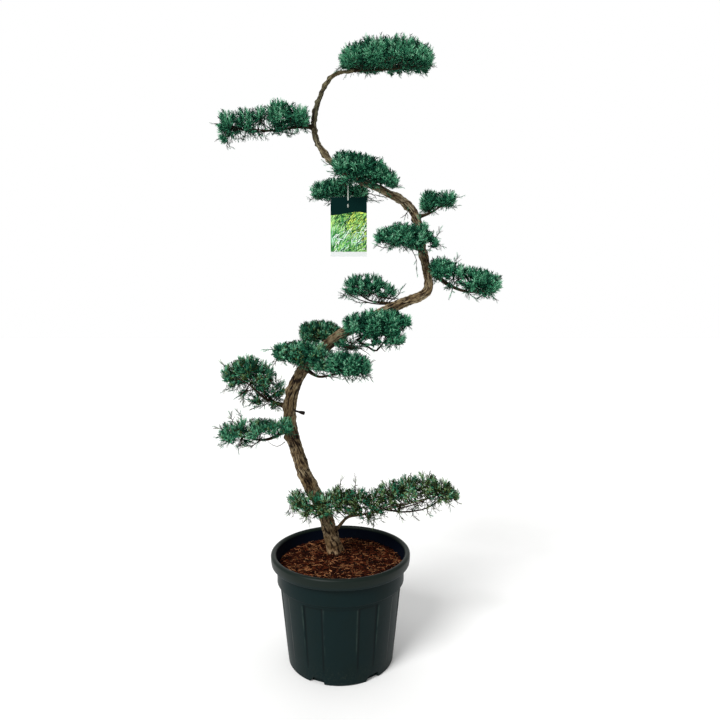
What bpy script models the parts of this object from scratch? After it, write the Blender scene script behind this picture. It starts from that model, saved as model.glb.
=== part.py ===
"""Potted juniper trained as a niwaki: one bare winding trunk that carries clipped pads of foliage,
in a round nursery container with a hang tag tied to the trunk.

Metres, +Z up. The origin is the middle of the container's flat underside. +X is to the right and
+Y away from whoever looks at the plant from its front.
"""

import math
import random
from typing import NamedTuple

import bmesh
import bpy
import numpy as np
from mathutils import Vector

# Clearance between two pieces that touch, what a limb's cutter adds to its radius so that its flat
# sides still keep that, and the room between a pad's sprays and the limbs they pass.
GAP = 0.0003
CUT_GAP = 0.0004
SPRAY_CLEARANCE = 0.002

# How far a cutter runs on past what it cuts.
CUTTER_REACH = 0.02

# Container: a tapered tub with a rolled rim, a collar below it and four fluted corners.
POT_HEIGHT = 0.390
RIM_RADIUS = 0.2475
RIM_BAND = 0.019
RIM_DEPTH = 0.038
RIM_ROUND = 0.005
COLLAR_RADIUS = 0.2255
COLLAR_DEPTH = 0.064
COLLAR_EDGE = 0.006
BODY_TOP_RADIUS = 0.2185
FOOT_RADIUS = 0.1870
WALL = 0.004
FLUTE_TOP = 0.276
FLUTE_FOOT = 0.050
FLUTE_DEPTH = 0.004
PANEL_DEPTH = 0.0015
CORNERS = 4
FIRST_CORNER = math.radians(-43.4)
PILASTER_HALF = math.radians(10.0)
FLUTE_HALF = math.radians(29.0)
STEP_HALF = math.radians(0.8)
NOTCHES = 6
FIRST_NOTCH = math.radians(-112.5)
NOTCH_WIDTH = 0.040
NOTCH_HEIGHT = 0.020

# Edges flatter than this many degrees are shaded smooth.
SMOOTH_PLASTIC = 35
SMOOTH_BARK = 50

# The mulch surface, where the trunk's flat cut stands.
SOIL_LEVEL = 0.349

# Trunk: from its foot to its tip, each place where it turns or runs straight.
TRUNK_BENDS = (
    (-0.024, 0.075, SOIL_LEVEL + GAP),
    (-0.061, 0.062, 0.498),
    (-0.141, 0.042, 0.682),
    (-0.181, 0.020, 0.878),
    (-0.130, -0.006, 1.035),
    (0.011, -0.038, 1.163),
    (0.191, -0.040, 1.256),
    (0.287, -0.022, 1.298),
    (0.305, -0.008, 1.345),
    (0.286, 0.018, 1.446),
    (0.255, 0.023, 1.583),
    (0.158, -0.006, 1.644),
    (0.002, -0.032, 1.713),
    (-0.080, -0.008, 1.822),
    (-0.079, 0.001, 1.925),
    (-0.027, 0.013, 2.032),
    (0.049, 0.020, 2.056),
)
TRUNK_FOOT_RADIUS = 0.0262
TRUNK_TIP_RADIUS = 0.0058
TRUNK_TAPER = 0.85
FLARE = 0.0050
FLARE_HEIGHT = 0.035
BUTTRESSES = 5
BUTTRESS_DEPTH = 0.10
BUTTRESS_TURN = 0.6
BUTTRESS_RINGS = 1.5
KNOB_SIZE = 0.05
KNOB_WAVES = (2.3, 2.0, 1.1)
TRUNK_SIDES = 10
TRUNK_RINGS = 44

# Boughs taper to this share of their thickness at the trunk.
BOUGH_TAPER = 0.55
BOUGH_SIDES = 7
BOUGH_STEP = 0.030
STEM_SIDES = 5
STEM_TIP_RADIUS = 0.0016
TWIG_RADIUS = 0.0016
TWIG_SAG = 0.004
TWIG_SIDES = 3

# Foliage: each clump is a squarish ball, 2 being a round one. Its core reaches this share of the
# way out and is this lumpy, and the toothed sprays that stand out of it have their roots sunk in.
SQUARENESS = 2.5
CORE_SHARE = 0.80
CORE_LUMPS = 0.07
SPRAY_ROOT = 0.58
SPRAY_REACH = (0.97, 1.03)

# One spray for this much of a clump's surface. Its outline is shares of its length and width: its
# root, two teeth on each side and its tip. A ridge stands at this share of the way along it.
SPRAY_AREA = 0.0062
LEAST_SPRAYS = 8
SPRAY_SHAPE = ((0.0, 0.0), (0.42, 0.50), (0.58, 0.20), (0.86, 0.34), (1.0, 0.0),
               (0.86, -0.34), (0.58, -0.20), (0.42, -0.50))
SPRAY_WIDTH = 0.052
SPRAY_SLIMNESS = 1.3
SPRAY_VARIETY = (0.85, 1.1)
SPRAY_THICKNESS = 0.0042
SPRAY_RIDGE = 0.52

# No spray points further down than this, or ends deeper in a neighbouring clump than this share of
# its reach, or comes nearer to another pad than this share of that pad's reach.
LOWEST_SPRAY = -0.55
DEEPEST_TIP = 0.9
OWN_SPACE = 0.06

TWIGS_PER_CLUMP = 3
TWIG_TAPER = (1.3, 1.0, 0.7)

# Hang tag: a card on a white tie round the trunk.
CARD_WIDTH = 0.1216
CARD_HEIGHT = 0.197
CARD_THICKNESS = 0.0009
CARD_CORNER = 0.003
CARD_CORNER_STEPS = 3
CARD_TOP = 1.6195
CARD_MIDDLE = (0.0311, -0.046)
SLOT_WIDTH = 0.013
SLOT_HEIGHT = 0.004
SLOT_LEVEL = 1.590
TIE_WIDTH = 0.008
TIE_THICKNESS = 0.0008
TIE_PLACE = 0.0288
TIE_LEVEL = 1.697
TIE_SLACK = 0.006

# The tie's loop stands this far off the bark and runs round this arc of it. Its two legs come
# together this high above the slot, this far either side of the card, and turn this tightly below.
TIE_STAND_OFF = 0.0045
TIE_ARC = (math.radians(-20.0), math.radians(200.0))
TIE_STEPS = 12
TIE_LEG_HEIGHT = 0.010
TIE_LEGS = (-0.0024, 0.0033)
TIE_TURN = 0.0012

# A pruned branch, cut back to a short stub on the trunk's right side.
STUB_LEVEL = 0.878
STUB_TIP = (-0.127, 0.006, 0.884)
STUB_RADIUS = 0.0075
STUB_SIDES = 8


class Finish(NamedTuple):
    """A surface: its name, its linear red, green and blue, its roughness and its metallic value."""

    name: str
    colour: tuple
    roughness: float
    metallic: float


class Lobe(NamedTuple):
    """One rounded clump of a pad: its middle and how far it reaches each way."""

    x: float
    y: float
    z: float
    wide: float
    deep: float
    up: float
    down: float


class Pad(NamedTuple):
    """A pad of foliage: where its limb leaves the trunk, the way it goes, how many of those places
    the bough itself takes before it enters the foliage, its thickness there, and the clumps."""

    name: str
    leaves: float
    way: tuple
    bough_places: int
    thickness: float
    lobes: tuple


MOULDED_PLASTIC = Finish("moulded_plastic", (0.020, 0.035, 0.028), 0.5, 0.0)
BARK_MULCH = Finish("bark_mulch", (0.090, 0.030, 0.014), 0.95, 0.0)
JUNIPER_BARK = Finish("juniper_bark", (0.160, 0.095, 0.055), 0.9, 0.0)
CUT_WOOD = Finish("cut_wood", (0.420, 0.270, 0.140), 0.8, 0.0)
JUNIPER_SPRAYS = Finish("juniper_sprays", (0.025, 0.110, 0.060), 0.75, 0.0)
PRINTED_CARD = Finish("printed_card", (0.120, 0.300, 0.050), 0.35, 0.0)
WHITE_STRAP = Finish("white_strap", (0.850, 0.850, 0.830), 0.5, 0.0)

PADS = (
    Pad("top", 2.056, ((0.103, 0.020, 2.058), (0.178, 0.020, 2.061), (0.266, 0.020, 2.071)), 0, 0.011, (
        Lobe(0.065, 0.020, 2.085, 0.070, 0.085, 0.065, 0.035),
        Lobe(0.150, 0.020, 2.090, 0.100, 0.105, 0.070, 0.045),
        Lobe(0.245, 0.020, 2.095, 0.070, 0.085, 0.060, 0.040))),
    Pad("upper_left", 1.861, ((-0.134, -0.010, 1.859), (-0.193, -0.020, 1.849), (-0.281, -0.020, 1.840),
                              (-0.350, -0.010, 1.856), (-0.400, -0.010, 1.868)), 1, 0.014, (
        Lobe(-0.135, -0.010, 1.875, 0.050, 0.070, 0.065, 0.030),
        Lobe(-0.190, -0.020, 1.875, 0.055, 0.080, 0.060, 0.040),
        Lobe(-0.270, -0.020, 1.865, 0.050, 0.065, 0.045, 0.040),
        Lobe(-0.350, -0.010, 1.865, 0.060, 0.080, 0.045, 0.055))),
    Pad("saddle", 1.690, ((0.060, -0.052, 1.706), (0.040, -0.065, 1.722)), 0, 0.014, (
        Lobe(0.035, -0.060, 1.700, 0.065, 0.080, 0.075, 0.025),
        Lobe(0.105, -0.060, 1.695, 0.055, 0.070, 0.065, 0.025),
        Lobe(0.160, -0.050, 1.675, 0.035, 0.060, 0.045, 0.030))),
    Pad("low_back", 1.674, ((0.052, 0.030, 1.664), (-0.006, 0.050, 1.655),
                            (-0.085, 0.048, 1.655)), 1, 0.013, (
        Lobe(-0.065, 0.050, 1.660, 0.045, 0.065, 0.040, 0.035),
        Lobe(-0.010, 0.050, 1.670, 0.045, 0.065, 0.035, 0.050),
        Lobe(0.060, 0.050, 1.655, 0.040, 0.050, 0.030, 0.030))),
    Pad("right_small", 1.563, ((0.315, 0.045, 1.583), (0.351, 0.060, 1.606),
                               (0.386, 0.060, 1.631)), 1, 0.014, (
        Lobe(0.320, 0.060, 1.620, 0.040, 0.065, 0.050, 0.030),
        Lobe(0.375, 0.060, 1.630, 0.040, 0.060, 0.035, 0.030))),
    Pad("middle", 1.452, ((0.247, -0.022, 1.455), (0.197, -0.045, 1.471), (0.136, -0.050, 1.490)), 1, 0.015, (
        Lobe(0.165, -0.055, 1.485, 0.050, 0.070, 0.035, 0.035),
        Lobe(0.225, -0.060, 1.490, 0.055, 0.070, 0.050, 0.045))),
    Pad("tuft_mid", 1.475, ((0.312, -0.004, 1.481), (0.328, -0.006, 1.492)), 0, 0.009, (
        Lobe(0.315, 0.000, 1.480, 0.030, 0.050, 0.025, 0.030),)),
    Pad("right", 1.388, ((0.344, -0.010, 1.350), (0.401, -0.025, 1.315), (0.463, -0.040, 1.304),
                         (0.517, -0.040, 1.324)), 2, 0.020, (
        Lobe(0.355, -0.020, 1.380, 0.050, 0.080, 0.050, 0.040),
        Lobe(0.405, -0.030, 1.355, 0.050, 0.080, 0.045, 0.045),
        Lobe(0.480, -0.040, 1.335, 0.070, 0.090, 0.055, 0.050))),
    Pad("inner_left", 1.262, ((0.159, -0.004, 1.268), (0.104, 0.022, 1.277),
                              (0.041, 0.030, 1.314)), 1, 0.016, (
        Lobe(0.085, 0.035, 1.320, 0.080, 0.090, 0.060, 0.040),
        Lobe(0.155, 0.035, 1.310, 0.055, 0.080, 0.045, 0.035))),
    Pad("elbow", 1.222, ((0.116, -0.085, 1.176), (0.155, -0.110, 1.163), (0.207, -0.110, 1.176)), 1, 0.017, (
        Lobe(0.065, -0.120, 1.185, 0.050, 0.070, 0.050, 0.045),
        Lobe(0.130, -0.125, 1.190, 0.060, 0.080, 0.060, 0.055),
        Lobe(0.195, -0.115, 1.190, 0.050, 0.075, 0.045, 0.045),
        Lobe(0.165, -0.115, 1.145, 0.060, 0.070, 0.025, 0.030))),
    Pad("behind", 1.128, ((-0.061, 0.020, 1.138), (-0.103, 0.055, 1.149), (-0.139, 0.055, 1.160)), 1, 0.015, (
        Lobe(-0.080, 0.060, 1.160, 0.070, 0.075, 0.050, 0.035),
        Lobe(-0.025, 0.060, 1.160, 0.045, 0.065, 0.030, 0.030))),
    Pad("lower_left", 1.066, ((-0.133, -0.045, 1.079), (-0.168, -0.065, 1.092),
                              (-0.209, -0.065, 1.110)), 1, 0.015, (
        Lobe(-0.165, -0.070, 1.100, 0.065, 0.080, 0.045, 0.045),
        Lobe(-0.095, -0.095, 1.105, 0.045, 0.065, 0.040, 0.030))),
    Pad("lower_right", 1.044, ((-0.074, -0.070, 1.019), (-0.014, -0.110, 1.030),
                               (0.056, -0.115, 1.050)), 1, 0.017, (
        Lobe(-0.005, -0.120, 1.065, 0.065, 0.080, 0.050, 0.045),
        Lobe(0.055, -0.120, 1.055, 0.055, 0.075, 0.045, 0.045))),
    Pad("left_high", 0.902, ((-0.234, 0.030, 0.915), (-0.275, 0.048, 0.950), (-0.347, 0.050, 1.000),
                             (-0.404, 0.050, 1.024)), 1, 0.020, (
        Lobe(-0.325, 0.050, 1.020, 0.090, 0.090, 0.070, 0.050),
        Lobe(-0.385, 0.050, 1.000, 0.040, 0.070, 0.050, 0.045),
        Lobe(-0.245, 0.050, 0.970, 0.055, 0.075, 0.055, 0.060))),
    Pad("left_low", 0.828, ((-0.230, 0.015, 0.797), (-0.279, 0.010, 0.784), (-0.357, 0.010, 0.798),
                            (-0.413, 0.010, 0.813)), 2, 0.016, (
        Lobe(-0.385, 0.010, 0.815, 0.055, 0.075, 0.045, 0.050),
        Lobe(-0.290, 0.010, 0.815, 0.065, 0.080, 0.045, 0.055))),
    Pad("tuft_low", 0.816, ((-0.177, -0.022, 0.828), (-0.177, -0.042, 0.842)), 0, 0.009, (
        Lobe(-0.180, -0.035, 0.840, 0.030, 0.035, 0.040, 0.035),)),
    Pad("front_low", 0.520, ((-0.092, 0.018, 0.540), (-0.131, -0.020, 0.556),
                             (-0.168, -0.035, 0.572)), 1, 0.014, (
        Lobe(-0.130, -0.040, 0.570, 0.065, 0.080, 0.055, 0.055),
        Lobe(-0.070, -0.045, 0.575, 0.040, 0.060, 0.050, 0.055))),
    Pad("skirt", 0.408, ((0.019, 0.022, 0.495), (0.076, -0.018, 0.523), (0.167, -0.030, 0.547),
                         (0.261, -0.040, 0.576), (0.372, -0.040, 0.611)), 2, 0.022, (
        Lobe(0.035, -0.030, 0.570, 0.085, 0.090, 0.065, 0.060),
        Lobe(0.130, -0.035, 0.570, 0.055, 0.080, 0.055, 0.055),
        Lobe(0.230, -0.040, 0.605, 0.075, 0.090, 0.065, 0.055),
        Lobe(0.320, -0.040, 0.625, 0.065, 0.090, 0.060, 0.055),
        Lobe(0.380, -0.040, 0.620, 0.040, 0.075, 0.045, 0.045))),
)


def clear_scene():
    """Removes whatever the scene holds."""
    for obj in list(bpy.data.objects):
        bpy.data.objects.remove(obj, do_unlink=True)


def dress(obj, finish):
    """Gives a finished piece its own Principled material."""
    made = bpy.data.materials.new(f"{obj.name}_{finish.name}")
    made.use_nodes = True
    shader = made.node_tree.nodes["Principled BSDF"]
    shader.inputs["Base Color"].default_value = (*finish.colour, 1.0)
    shader.inputs["Roughness"].default_value = finish.roughness
    shader.inputs["Metallic"].default_value = finish.metallic
    obj.data.materials.clear()
    obj.data.materials.append(made)


def add_object(name, points, faces, smooth_below=None):
    """An object of these points and faces; edges flatter than smooth_below degrees are smoothed."""
    mesh = bpy.data.meshes.new(name)
    mesh.from_pydata([tuple(p) for p in points], [], [tuple(f) for f in faces])
    mesh.validate()
    work = bmesh.new()
    work.from_mesh(mesh)
    bmesh.ops.recalc_face_normals(work, faces=work.faces)
    work.to_mesh(mesh)
    work.free()
    if smooth_below:
        mesh.shade_smooth()
        mesh.set_sharp_from_angle(angle=math.radians(smooth_below))
    obj = bpy.data.objects.new(name, mesh)
    bpy.context.scene.collection.objects.link(obj)
    return obj


def smooth_path(places, step):
    """Points about a step apart on the Catmull-Rom curve through the places."""
    places = [Vector(p) for p in places]
    ends = [2 * places[0] - places[1], *places, 2 * places[-1] - places[-2]]
    path = []
    for before, start, end, after in zip(ends, ends[1:], ends[2:], ends[3:]):
        count = max(2, round((end - start).length / step))
        for i in range(count):
            t = i / count
            path.append(0.5 * (2 * start + (end - before) * t
                               + (2 * before - 5 * start + 4 * end - after) * t ** 2
                               + (3 * start - before - 3 * end + after) * t ** 3))
    return path + [places[-1]]


def distances(path):
    """The length along the path at each of its points."""
    found = [0.0]
    for a, b in zip(path, path[1:]):
        found.append(found[-1] + (b - a).length)
    return found


def even_path(path, count):
    """The path again with so many points, evenly spaced."""
    along = distances(path)
    wanted = np.linspace(0, along[-1], count)
    return [Vector(p) for p in zip(*(np.interp(wanted, along, [q[i] for q in path]) for i in range(3)))]


def tube(path, radii, sides, shape=None):
    """Points and faces of a closed tube along the path. shape(ring, angle) scales a radius there."""
    points = []
    across = Vector((1.0, 0.0, 0.0))
    for ring, place in enumerate(path):
        ahead = (path[min(ring + 1, len(path) - 1)] - path[max(ring - 1, 0)]).normalized()
        across = (across - ahead * across.dot(ahead)).normalized()
        other = ahead.cross(across)
        for side in range(sides):
            angle = math.tau * side / sides
            reach = radii[ring] * (shape(ring, angle) if shape else 1.0)
            points.append(place + reach * (math.cos(angle) * across + math.sin(angle) * other))
    faces = [tuple(reversed(range(sides)))]
    for ring in range(len(path) - 1):
        low = ring * sides
        for side in range(sides):
            after = (side + 1) % sides
            faces.append((low + side, low + after, low + sides + after, low + sides + side))
    faces.append(tuple(range(len(points) - sides, len(points))))
    return points, faces


def combined(name, base, others, operation, solver="EXACT"):
    """base with a Boolean of all the others applied. The others and the base are removed."""
    helpers = bpy.data.collections.new(name)
    bpy.context.scene.collection.children.link(helpers)
    for obj in others:
        bpy.context.scene.collection.objects.unlink(obj)
        helpers.objects.link(obj)
    modifier = base.modifiers.new(operation.lower(), "BOOLEAN")
    modifier.operation = operation
    modifier.solver = solver
    modifier.operand_type = "COLLECTION"
    modifier.collection = helpers
    graph = bpy.context.evaluated_depsgraph_get()
    mesh = bpy.data.meshes.new_from_object(base.evaluated_get(graph))
    for obj in [*others, base]:
        bpy.data.objects.remove(obj, do_unlink=True)
    bpy.data.collections.remove(helpers)
    made = bpy.data.objects.new(name, mesh)
    bpy.context.scene.collection.objects.link(made)
    return made


def keep_largest_body(obj):
    """Drops loose scraps and fills hollows that fusing sealed, leaving the one outer surface."""
    work = bmesh.new()
    work.from_mesh(obj.data)
    bmesh.ops.triangulate(work, faces=work.faces)
    left = set(work.faces)
    bodies = []
    while left:
        body = [left.pop()]
        for face in body:
            for edge in face.edges:
                for other in edge.link_faces:
                    if other in left:
                        left.remove(other)
                        body.append(other)
        bodies.append(body)

    def volume(body):
        """Six times the volume that a body's triangles enclose."""
        return sum(f.verts[0].co.dot(f.verts[1].co.cross(f.verts[2].co)) for f in body)

    bodies.sort(key=volume)
    for body in bodies[:-1]:
        bmesh.ops.delete(work, geom=body, context="FACES")
    loose = [v for v in work.verts if not v.link_faces]
    bmesh.ops.delete(work, geom=loose, context="VERTS")
    work.to_mesh(obj.data)
    work.free()


def pot_angles():
    """Angles round the container with two close together at each step between flute and panel."""
    offsets = (0.0, PILASTER_HALF - STEP_HALF, PILASTER_HALF + STEP_HALF,
               (PILASTER_HALF + FLUTE_HALF) / 2, FLUTE_HALF - STEP_HALF, FLUTE_HALF + STEP_HALF,
               (FLUTE_HALF + math.pi / CORNERS) / 2)
    sector = math.tau / CORNERS
    found = set()
    for corner in range(CORNERS):
        middle = FIRST_CORNER + corner * sector
        for offset in offsets:
            found.update({middle + offset, middle - offset})
        found.add(middle + sector / 2)
    return sorted(found)


def flute_recess(angle):
    """How deep the wall is pressed in at this angle, before it fades towards the foot."""
    sector = math.tau / CORNERS
    off = abs((angle - FIRST_CORNER + sector / 2) % sector - sector / 2)
    if off < PILASTER_HALF:
        return 0.0
    return FLUTE_DEPTH if off < FLUTE_HALF else PANEL_DEPTH


def build_pot():
    """The container: one turned wall whose body is pressed in between its four corners."""
    collar_top = POT_HEIGHT - RIM_DEPTH
    collar_foot = collar_top - COLLAR_DEPTH
    rim_inner = RIM_RADIUS - RIM_BAND
    floor_radius = FOOT_RADIUS - WALL

    def body_radius(height):
        """The tapered body's outer radius at this height."""
        return FOOT_RADIUS + (BODY_TOP_RADIUS - FOOT_RADIUS) * height / collar_foot

    outer = [(FOOT_RADIUS, 0.0, 0.0), (body_radius(FLUTE_FOOT), FLUTE_FOOT, 0.0),
             (body_radius(FLUTE_TOP), FLUTE_TOP, 1.0),
             (body_radius(FLUTE_TOP), FLUTE_TOP + FLUTE_DEPTH / 2, 0.0),
             (BODY_TOP_RADIUS, collar_foot, 0.0),
             (COLLAR_RADIUS - COLLAR_EDGE / 3, collar_foot + COLLAR_EDGE / 6, 0.0),
             (COLLAR_RADIUS, collar_foot + COLLAR_EDGE, 0.0), (COLLAR_RADIUS, collar_top, 0.0),
             (RIM_RADIUS - RIM_ROUND, collar_top, 0.0), (RIM_RADIUS, collar_top + RIM_ROUND, 0.0),
             (RIM_RADIUS, POT_HEIGHT - 2 * RIM_ROUND, 0.0),
             (RIM_RADIUS - RIM_ROUND, POT_HEIGHT - RIM_ROUND / 3, 0.0),
             (RIM_RADIUS - RIM_BAND / 2, POT_HEIGHT, 0.0),
             (rim_inner + RIM_ROUND / 2, POT_HEIGHT - RIM_ROUND / 3, 0.0),
             (rim_inner, POT_HEIGHT - RIM_ROUND, 0.0)]
    inner = [(COLLAR_RADIUS - WALL, collar_top, 0.0),
             (BODY_TOP_RADIUS - WALL - FLUTE_DEPTH, collar_foot, 0.0),
             (floor_radius, WALL, 0.0)]
    rings = outer + inner
    angles = pot_angles()
    points = []
    for radius, height, fluted in rings:
        for angle in angles:
            reach = radius - fluted * flute_recess(angle)
            points.append((reach * math.cos(angle), reach * math.sin(angle), height))
    count = len(angles)
    faces = []
    for ring in range(len(rings) - 1):
        for side in range(count):
            after = (side + 1) % count
            faces.append((ring * count + side, ring * count + after,
                          (ring + 1) * count + after, (ring + 1) * count + side))
    faces.append(tuple(reversed(range(count))))
    faces.append(tuple(range((len(rings) - 1) * count, len(rings) * count)))
    pot = add_object("pot", points, faces, smooth_below=SMOOTH_PLASTIC)
    return combined("pot", pot, [notch_cutter(i) for i in range(NOTCHES)], "DIFFERENCE")


def notch_cutter(index):
    """One drainage notch in the foot, with a slanting side."""
    angle = FIRST_NOTCH + index * math.tau / NOTCHES
    out = Vector((math.cos(angle), math.sin(angle), 0.0))
    side = Vector((-out.y, out.x, 0.0))
    half = NOTCH_WIDTH / 2
    outline = ((-half - NOTCH_HEIGHT / 2, -WALL), (half, -WALL), (half, NOTCH_HEIGHT),
               (-half + NOTCH_HEIGHT / 3, NOTCH_HEIGHT))
    points = []
    for reach in (FOOT_RADIUS - 2 * NOTCH_HEIGHT / 3, FOOT_RADIUS + NOTCH_HEIGHT):
        points += [out * reach + side * across + Vector((0.0, 0.0, height)) for across, height in outline]
    faces = [(3, 2, 1, 0), (4, 5, 6, 7)] + [(i, (i + 1) % 4, (i + 1) % 4 + 4, i + 4) for i in range(4)]
    return add_object(f"notch_{index}", points, faces)


def build_soil():
    """The root ball and mulch: a plug that fills the container to the mulch's level."""
    collar_foot = POT_HEIGHT - RIM_DEPTH - COLLAR_DEPTH
    top_inner = BODY_TOP_RADIUS - WALL - FLUTE_DEPTH
    slope = (COLLAR_RADIUS - WALL - top_inner) / COLLAR_DEPTH
    clear = 2 * GAP
    profile = ((FOOT_RADIUS - WALL - clear, WALL + GAP), (top_inner - clear, collar_foot),
               (top_inner + slope * (SOIL_LEVEL - collar_foot) - clear - GAP, SOIL_LEVEL))
    angles = pot_angles()
    count = len(angles)
    points = [(r * math.cos(a), r * math.sin(a), z) for r, z in profile for a in angles]
    faces = [tuple(reversed(range(count))), tuple(range(2 * count, 3 * count))]
    for ring in range(2):
        for side in range(count):
            after = (side + 1) % count
            faces.append((ring * count + side, ring * count + after,
                          (ring + 1) * count + after, (ring + 1) * count + side))
    return add_object("soil", points, faces)


def trunk_path():
    """The trunk's middle line from the mulch to its tip, evenly spaced."""
    return even_path(smooth_path(TRUNK_BENDS, 0.01), TRUNK_RINGS)


def trunk_radii(path):
    """The trunk's radius at each point: a steady taper, with a flare over the last centimetres."""
    along = distances(path)
    radii = []
    for length in along:
        taper = (1 - length / along[-1]) ** TRUNK_TAPER
        flare = FLARE * math.exp(-length / FLARE_HEIGHT)
        radii.append(TRUNK_TIP_RADIUS + (TRUNK_FOOT_RADIUS - TRUNK_TIP_RADIUS) * taper + flare)
    return radii


def trunk_shape(ring, angle):
    """Buttress roots that fade up the foot, and the low knobs of an old stem above them: two
    waves, one that winds round the stem and one that lets it come and go from ring to ring."""
    fade = math.exp(-ring / BUTTRESS_RINGS)
    buttress = BUTTRESS_DEPTH * fade * math.cos(BUTTRESSES * angle + BUTTRESS_TURN)
    winding, turning, coming = KNOB_WAVES
    knob = KNOB_SIZE * math.sin(winding * ring + turning * angle) * math.cos(coming * ring + 1.0)
    return 1 + buttress + knob


def trunk_tube(extra):
    """The trunk's tube with its skin moved out by extra, its foot cut level."""
    path = trunk_path()
    radii = [radius + extra for radius in trunk_radii(path)]
    points, faces = tube(path, radii, TRUNK_SIDES, trunk_shape)
    for point in points[:TRUNK_SIDES]:
        point.z = path[0].z
    return points, faces


def trunk_at(height):
    """The point of the trunk's middle line at this height, and its radius there."""
    path = trunk_path()
    levels = [p.z for p in path]
    place = Vector(float(np.interp(height, levels, [p[i] for p in path])) for i in range(3))
    return place, float(np.interp(height, levels, trunk_radii(path)))


def limb_path(pad):
    """The pad's whole limb, from the trunk's middle to the far end of its foliage."""
    start, _ = trunk_at(pad.leaves)
    return [start, *(Vector(p) for p in pad.way)]


def bough_places(pad):
    """The bough's middle line as far as it goes before the foliage, and its radii."""
    whole = limb_path(pad)
    path = smooth_path(whole[: pad.bough_places + 1], BOUGH_STEP)
    share = np.linspace(1.0, BOUGH_TAPER, len(path))
    return path, [pad.thickness / 2 * float(s) for s in share]


def stem_places(pad):
    """The stem that carries on through the foliage, from the bough's tip or the trunk, and its radii."""
    whole = limb_path(pad)
    begin = pad.bough_places
    path = smooth_path(whole[begin:], BOUGH_STEP)
    root = pad.thickness / 2 * (BOUGH_TAPER if begin else 1.0)
    if begin:
        bough, _ = bough_places(pad)
        ahead = (bough[-1] - bough[-2]).normalized()
        path[0] = bough[-1] + ahead * GAP
    if pad.name == "top":
        tip = trunk_path()
        path[0] = tip[-1] + (tip[-1] - tip[-2]).normalized() * GAP
    share = np.linspace(0.0, 1.0, len(path))
    return path, [root + (STEM_TIP_RADIUS - root) * float(s) for s in share]


def trunk_cutter():
    """A copy of the trunk grown by a clearance, to cut what grows out of it."""
    points, faces = trunk_tube(CUT_GAP)
    points[:TRUNK_SIDES] = [p - Vector((0.0, 0.0, CUTTER_REACH)) for p in points[:TRUNK_SIDES]]
    return add_object("trunk_cutter", points, faces)


def bough_cutters():
    """Copies of all the boughs grown by a clearance."""
    cutters = []
    for pad in PADS:
        if pad.bough_places:
            path, radii = bough_places(pad)
            points, faces = tube(path, [radius + CUT_GAP for radius in radii], BOUGH_SIDES)
            cutters.append(add_object(f"bough_cutter_{pad.name}", points, faces))
    return cutters


def build_bough(pad):
    """One tapering limb whose root is cut to the trunk's surface."""
    path, radii = bough_places(pad)
    points, faces = tube(path, radii, BOUGH_SIDES)
    bough = add_object(f"bough_{pad.name}", points, faces)
    bough = combined(bough.name, bough, [trunk_cutter()], "DIFFERENCE")
    keep_largest_body(bough)
    return bough


def build_trunk():
    """The bare winding trunk, whole from the mulch to its tip."""
    points, faces = trunk_tube(0.0)
    return add_object("trunk", points, faces, smooth_below=SMOOTH_BARK)


def build_stub():
    """The pruned branch's stub."""
    start, _ = trunk_at(STUB_LEVEL)
    path = smooth_path((start, STUB_TIP), BOUGH_STEP)
    points, faces = tube(path, [STUB_RADIUS] * len(path), STUB_SIDES)
    stub = add_object("cut_stub", points, faces)
    stub = combined("cut_stub", stub, [trunk_cutter()], "DIFFERENCE")
    keep_largest_body(stub)
    return stub


def segments(path, radii):
    """The path as arrays of starts, ends and the radii at both."""
    points = np.array([tuple(p) for p in path])
    sizes = np.array(radii)
    return points[:-1], points[1:], sizes[:-1], sizes[1:]


def limb_segments():
    """Every limb of the tree, by name."""
    path = trunk_path()
    found = {"trunk": segments(path, trunk_radii(path))}
    for pad in PADS:
        if pad.bough_places:
            found[f"bough_{pad.name}"] = segments(*bough_places(pad))
        found[f"stem_{pad.name}"] = segments(*stem_places(pad))
    return found


def room_beside(points, limb):
    """The least distance from any of the points to the limb's surface."""
    start, end, near, far = limb
    along = end - start
    share = np.einsum("pij,ij->pi", points[:, None] - start, along) / np.einsum("ij,ij->i", along, along)
    share = np.clip(share, 0, 1)
    foot = start + share[..., None] * along
    return (np.linalg.norm(points[:, None] - foot, axis=2) - (near + share * (far - near))).min()


def depth_in(points, lobe):
    """How far out each point is in a clump, from 0 in its middle to 1 on its outline."""
    off = points - np.array([lobe.x, lobe.y, lobe.z])
    tall = np.where(off[:, 2] > 0, lobe.up, lobe.down)
    shares = np.abs(np.stack([off[:, 0] / lobe.wide, off[:, 1] / lobe.deep, off[:, 2] / tall]))
    return (shares ** SQUARENESS).sum(axis=0) ** (1 / SQUARENESS)


def in_own_space(points, pad):
    """Whether the points lie further into this pad than into any other, and clear of the tag."""
    own = np.min([depth_in(points, lobe) for lobe in pad.lobes], axis=0)
    for other in PADS:
        if other is not pad:
            for lobe in other.lobes:
                if (depth_in(points, lobe) < np.minimum(own, 1.0) + OWN_SPACE).any():
                    return False
    return not any(((points > low) & (points < high)).all(axis=1).any() for low, high in tag_rooms())


def tag_rooms():
    """The lowest and highest corners of the two boxes of room that the card and its tie need."""
    middle, front = CARD_MIDDLE
    grip, radius = trunk_at(TIE_LEVEL)
    round_trunk = radius + TIE_SLACK
    rooms = (((middle - CARD_WIDTH / 2, front - TIE_SLACK, CARD_TOP - CARD_HEIGHT),
              (middle + CARD_WIDTH / 2, front + TIE_SLACK, CARD_TOP)),
             ((TIE_PLACE - TIE_WIDTH / 2, front - TIE_SLACK, SLOT_LEVEL),
              (TIE_PLACE + TIE_WIDTH / 2, grip.y + round_trunk, grip.z + round_trunk)))
    return [(np.array(low) - SPRAY_CLEARANCE, np.array(high) + SPRAY_CLEARANCE) for low, high in rooms]


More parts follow.
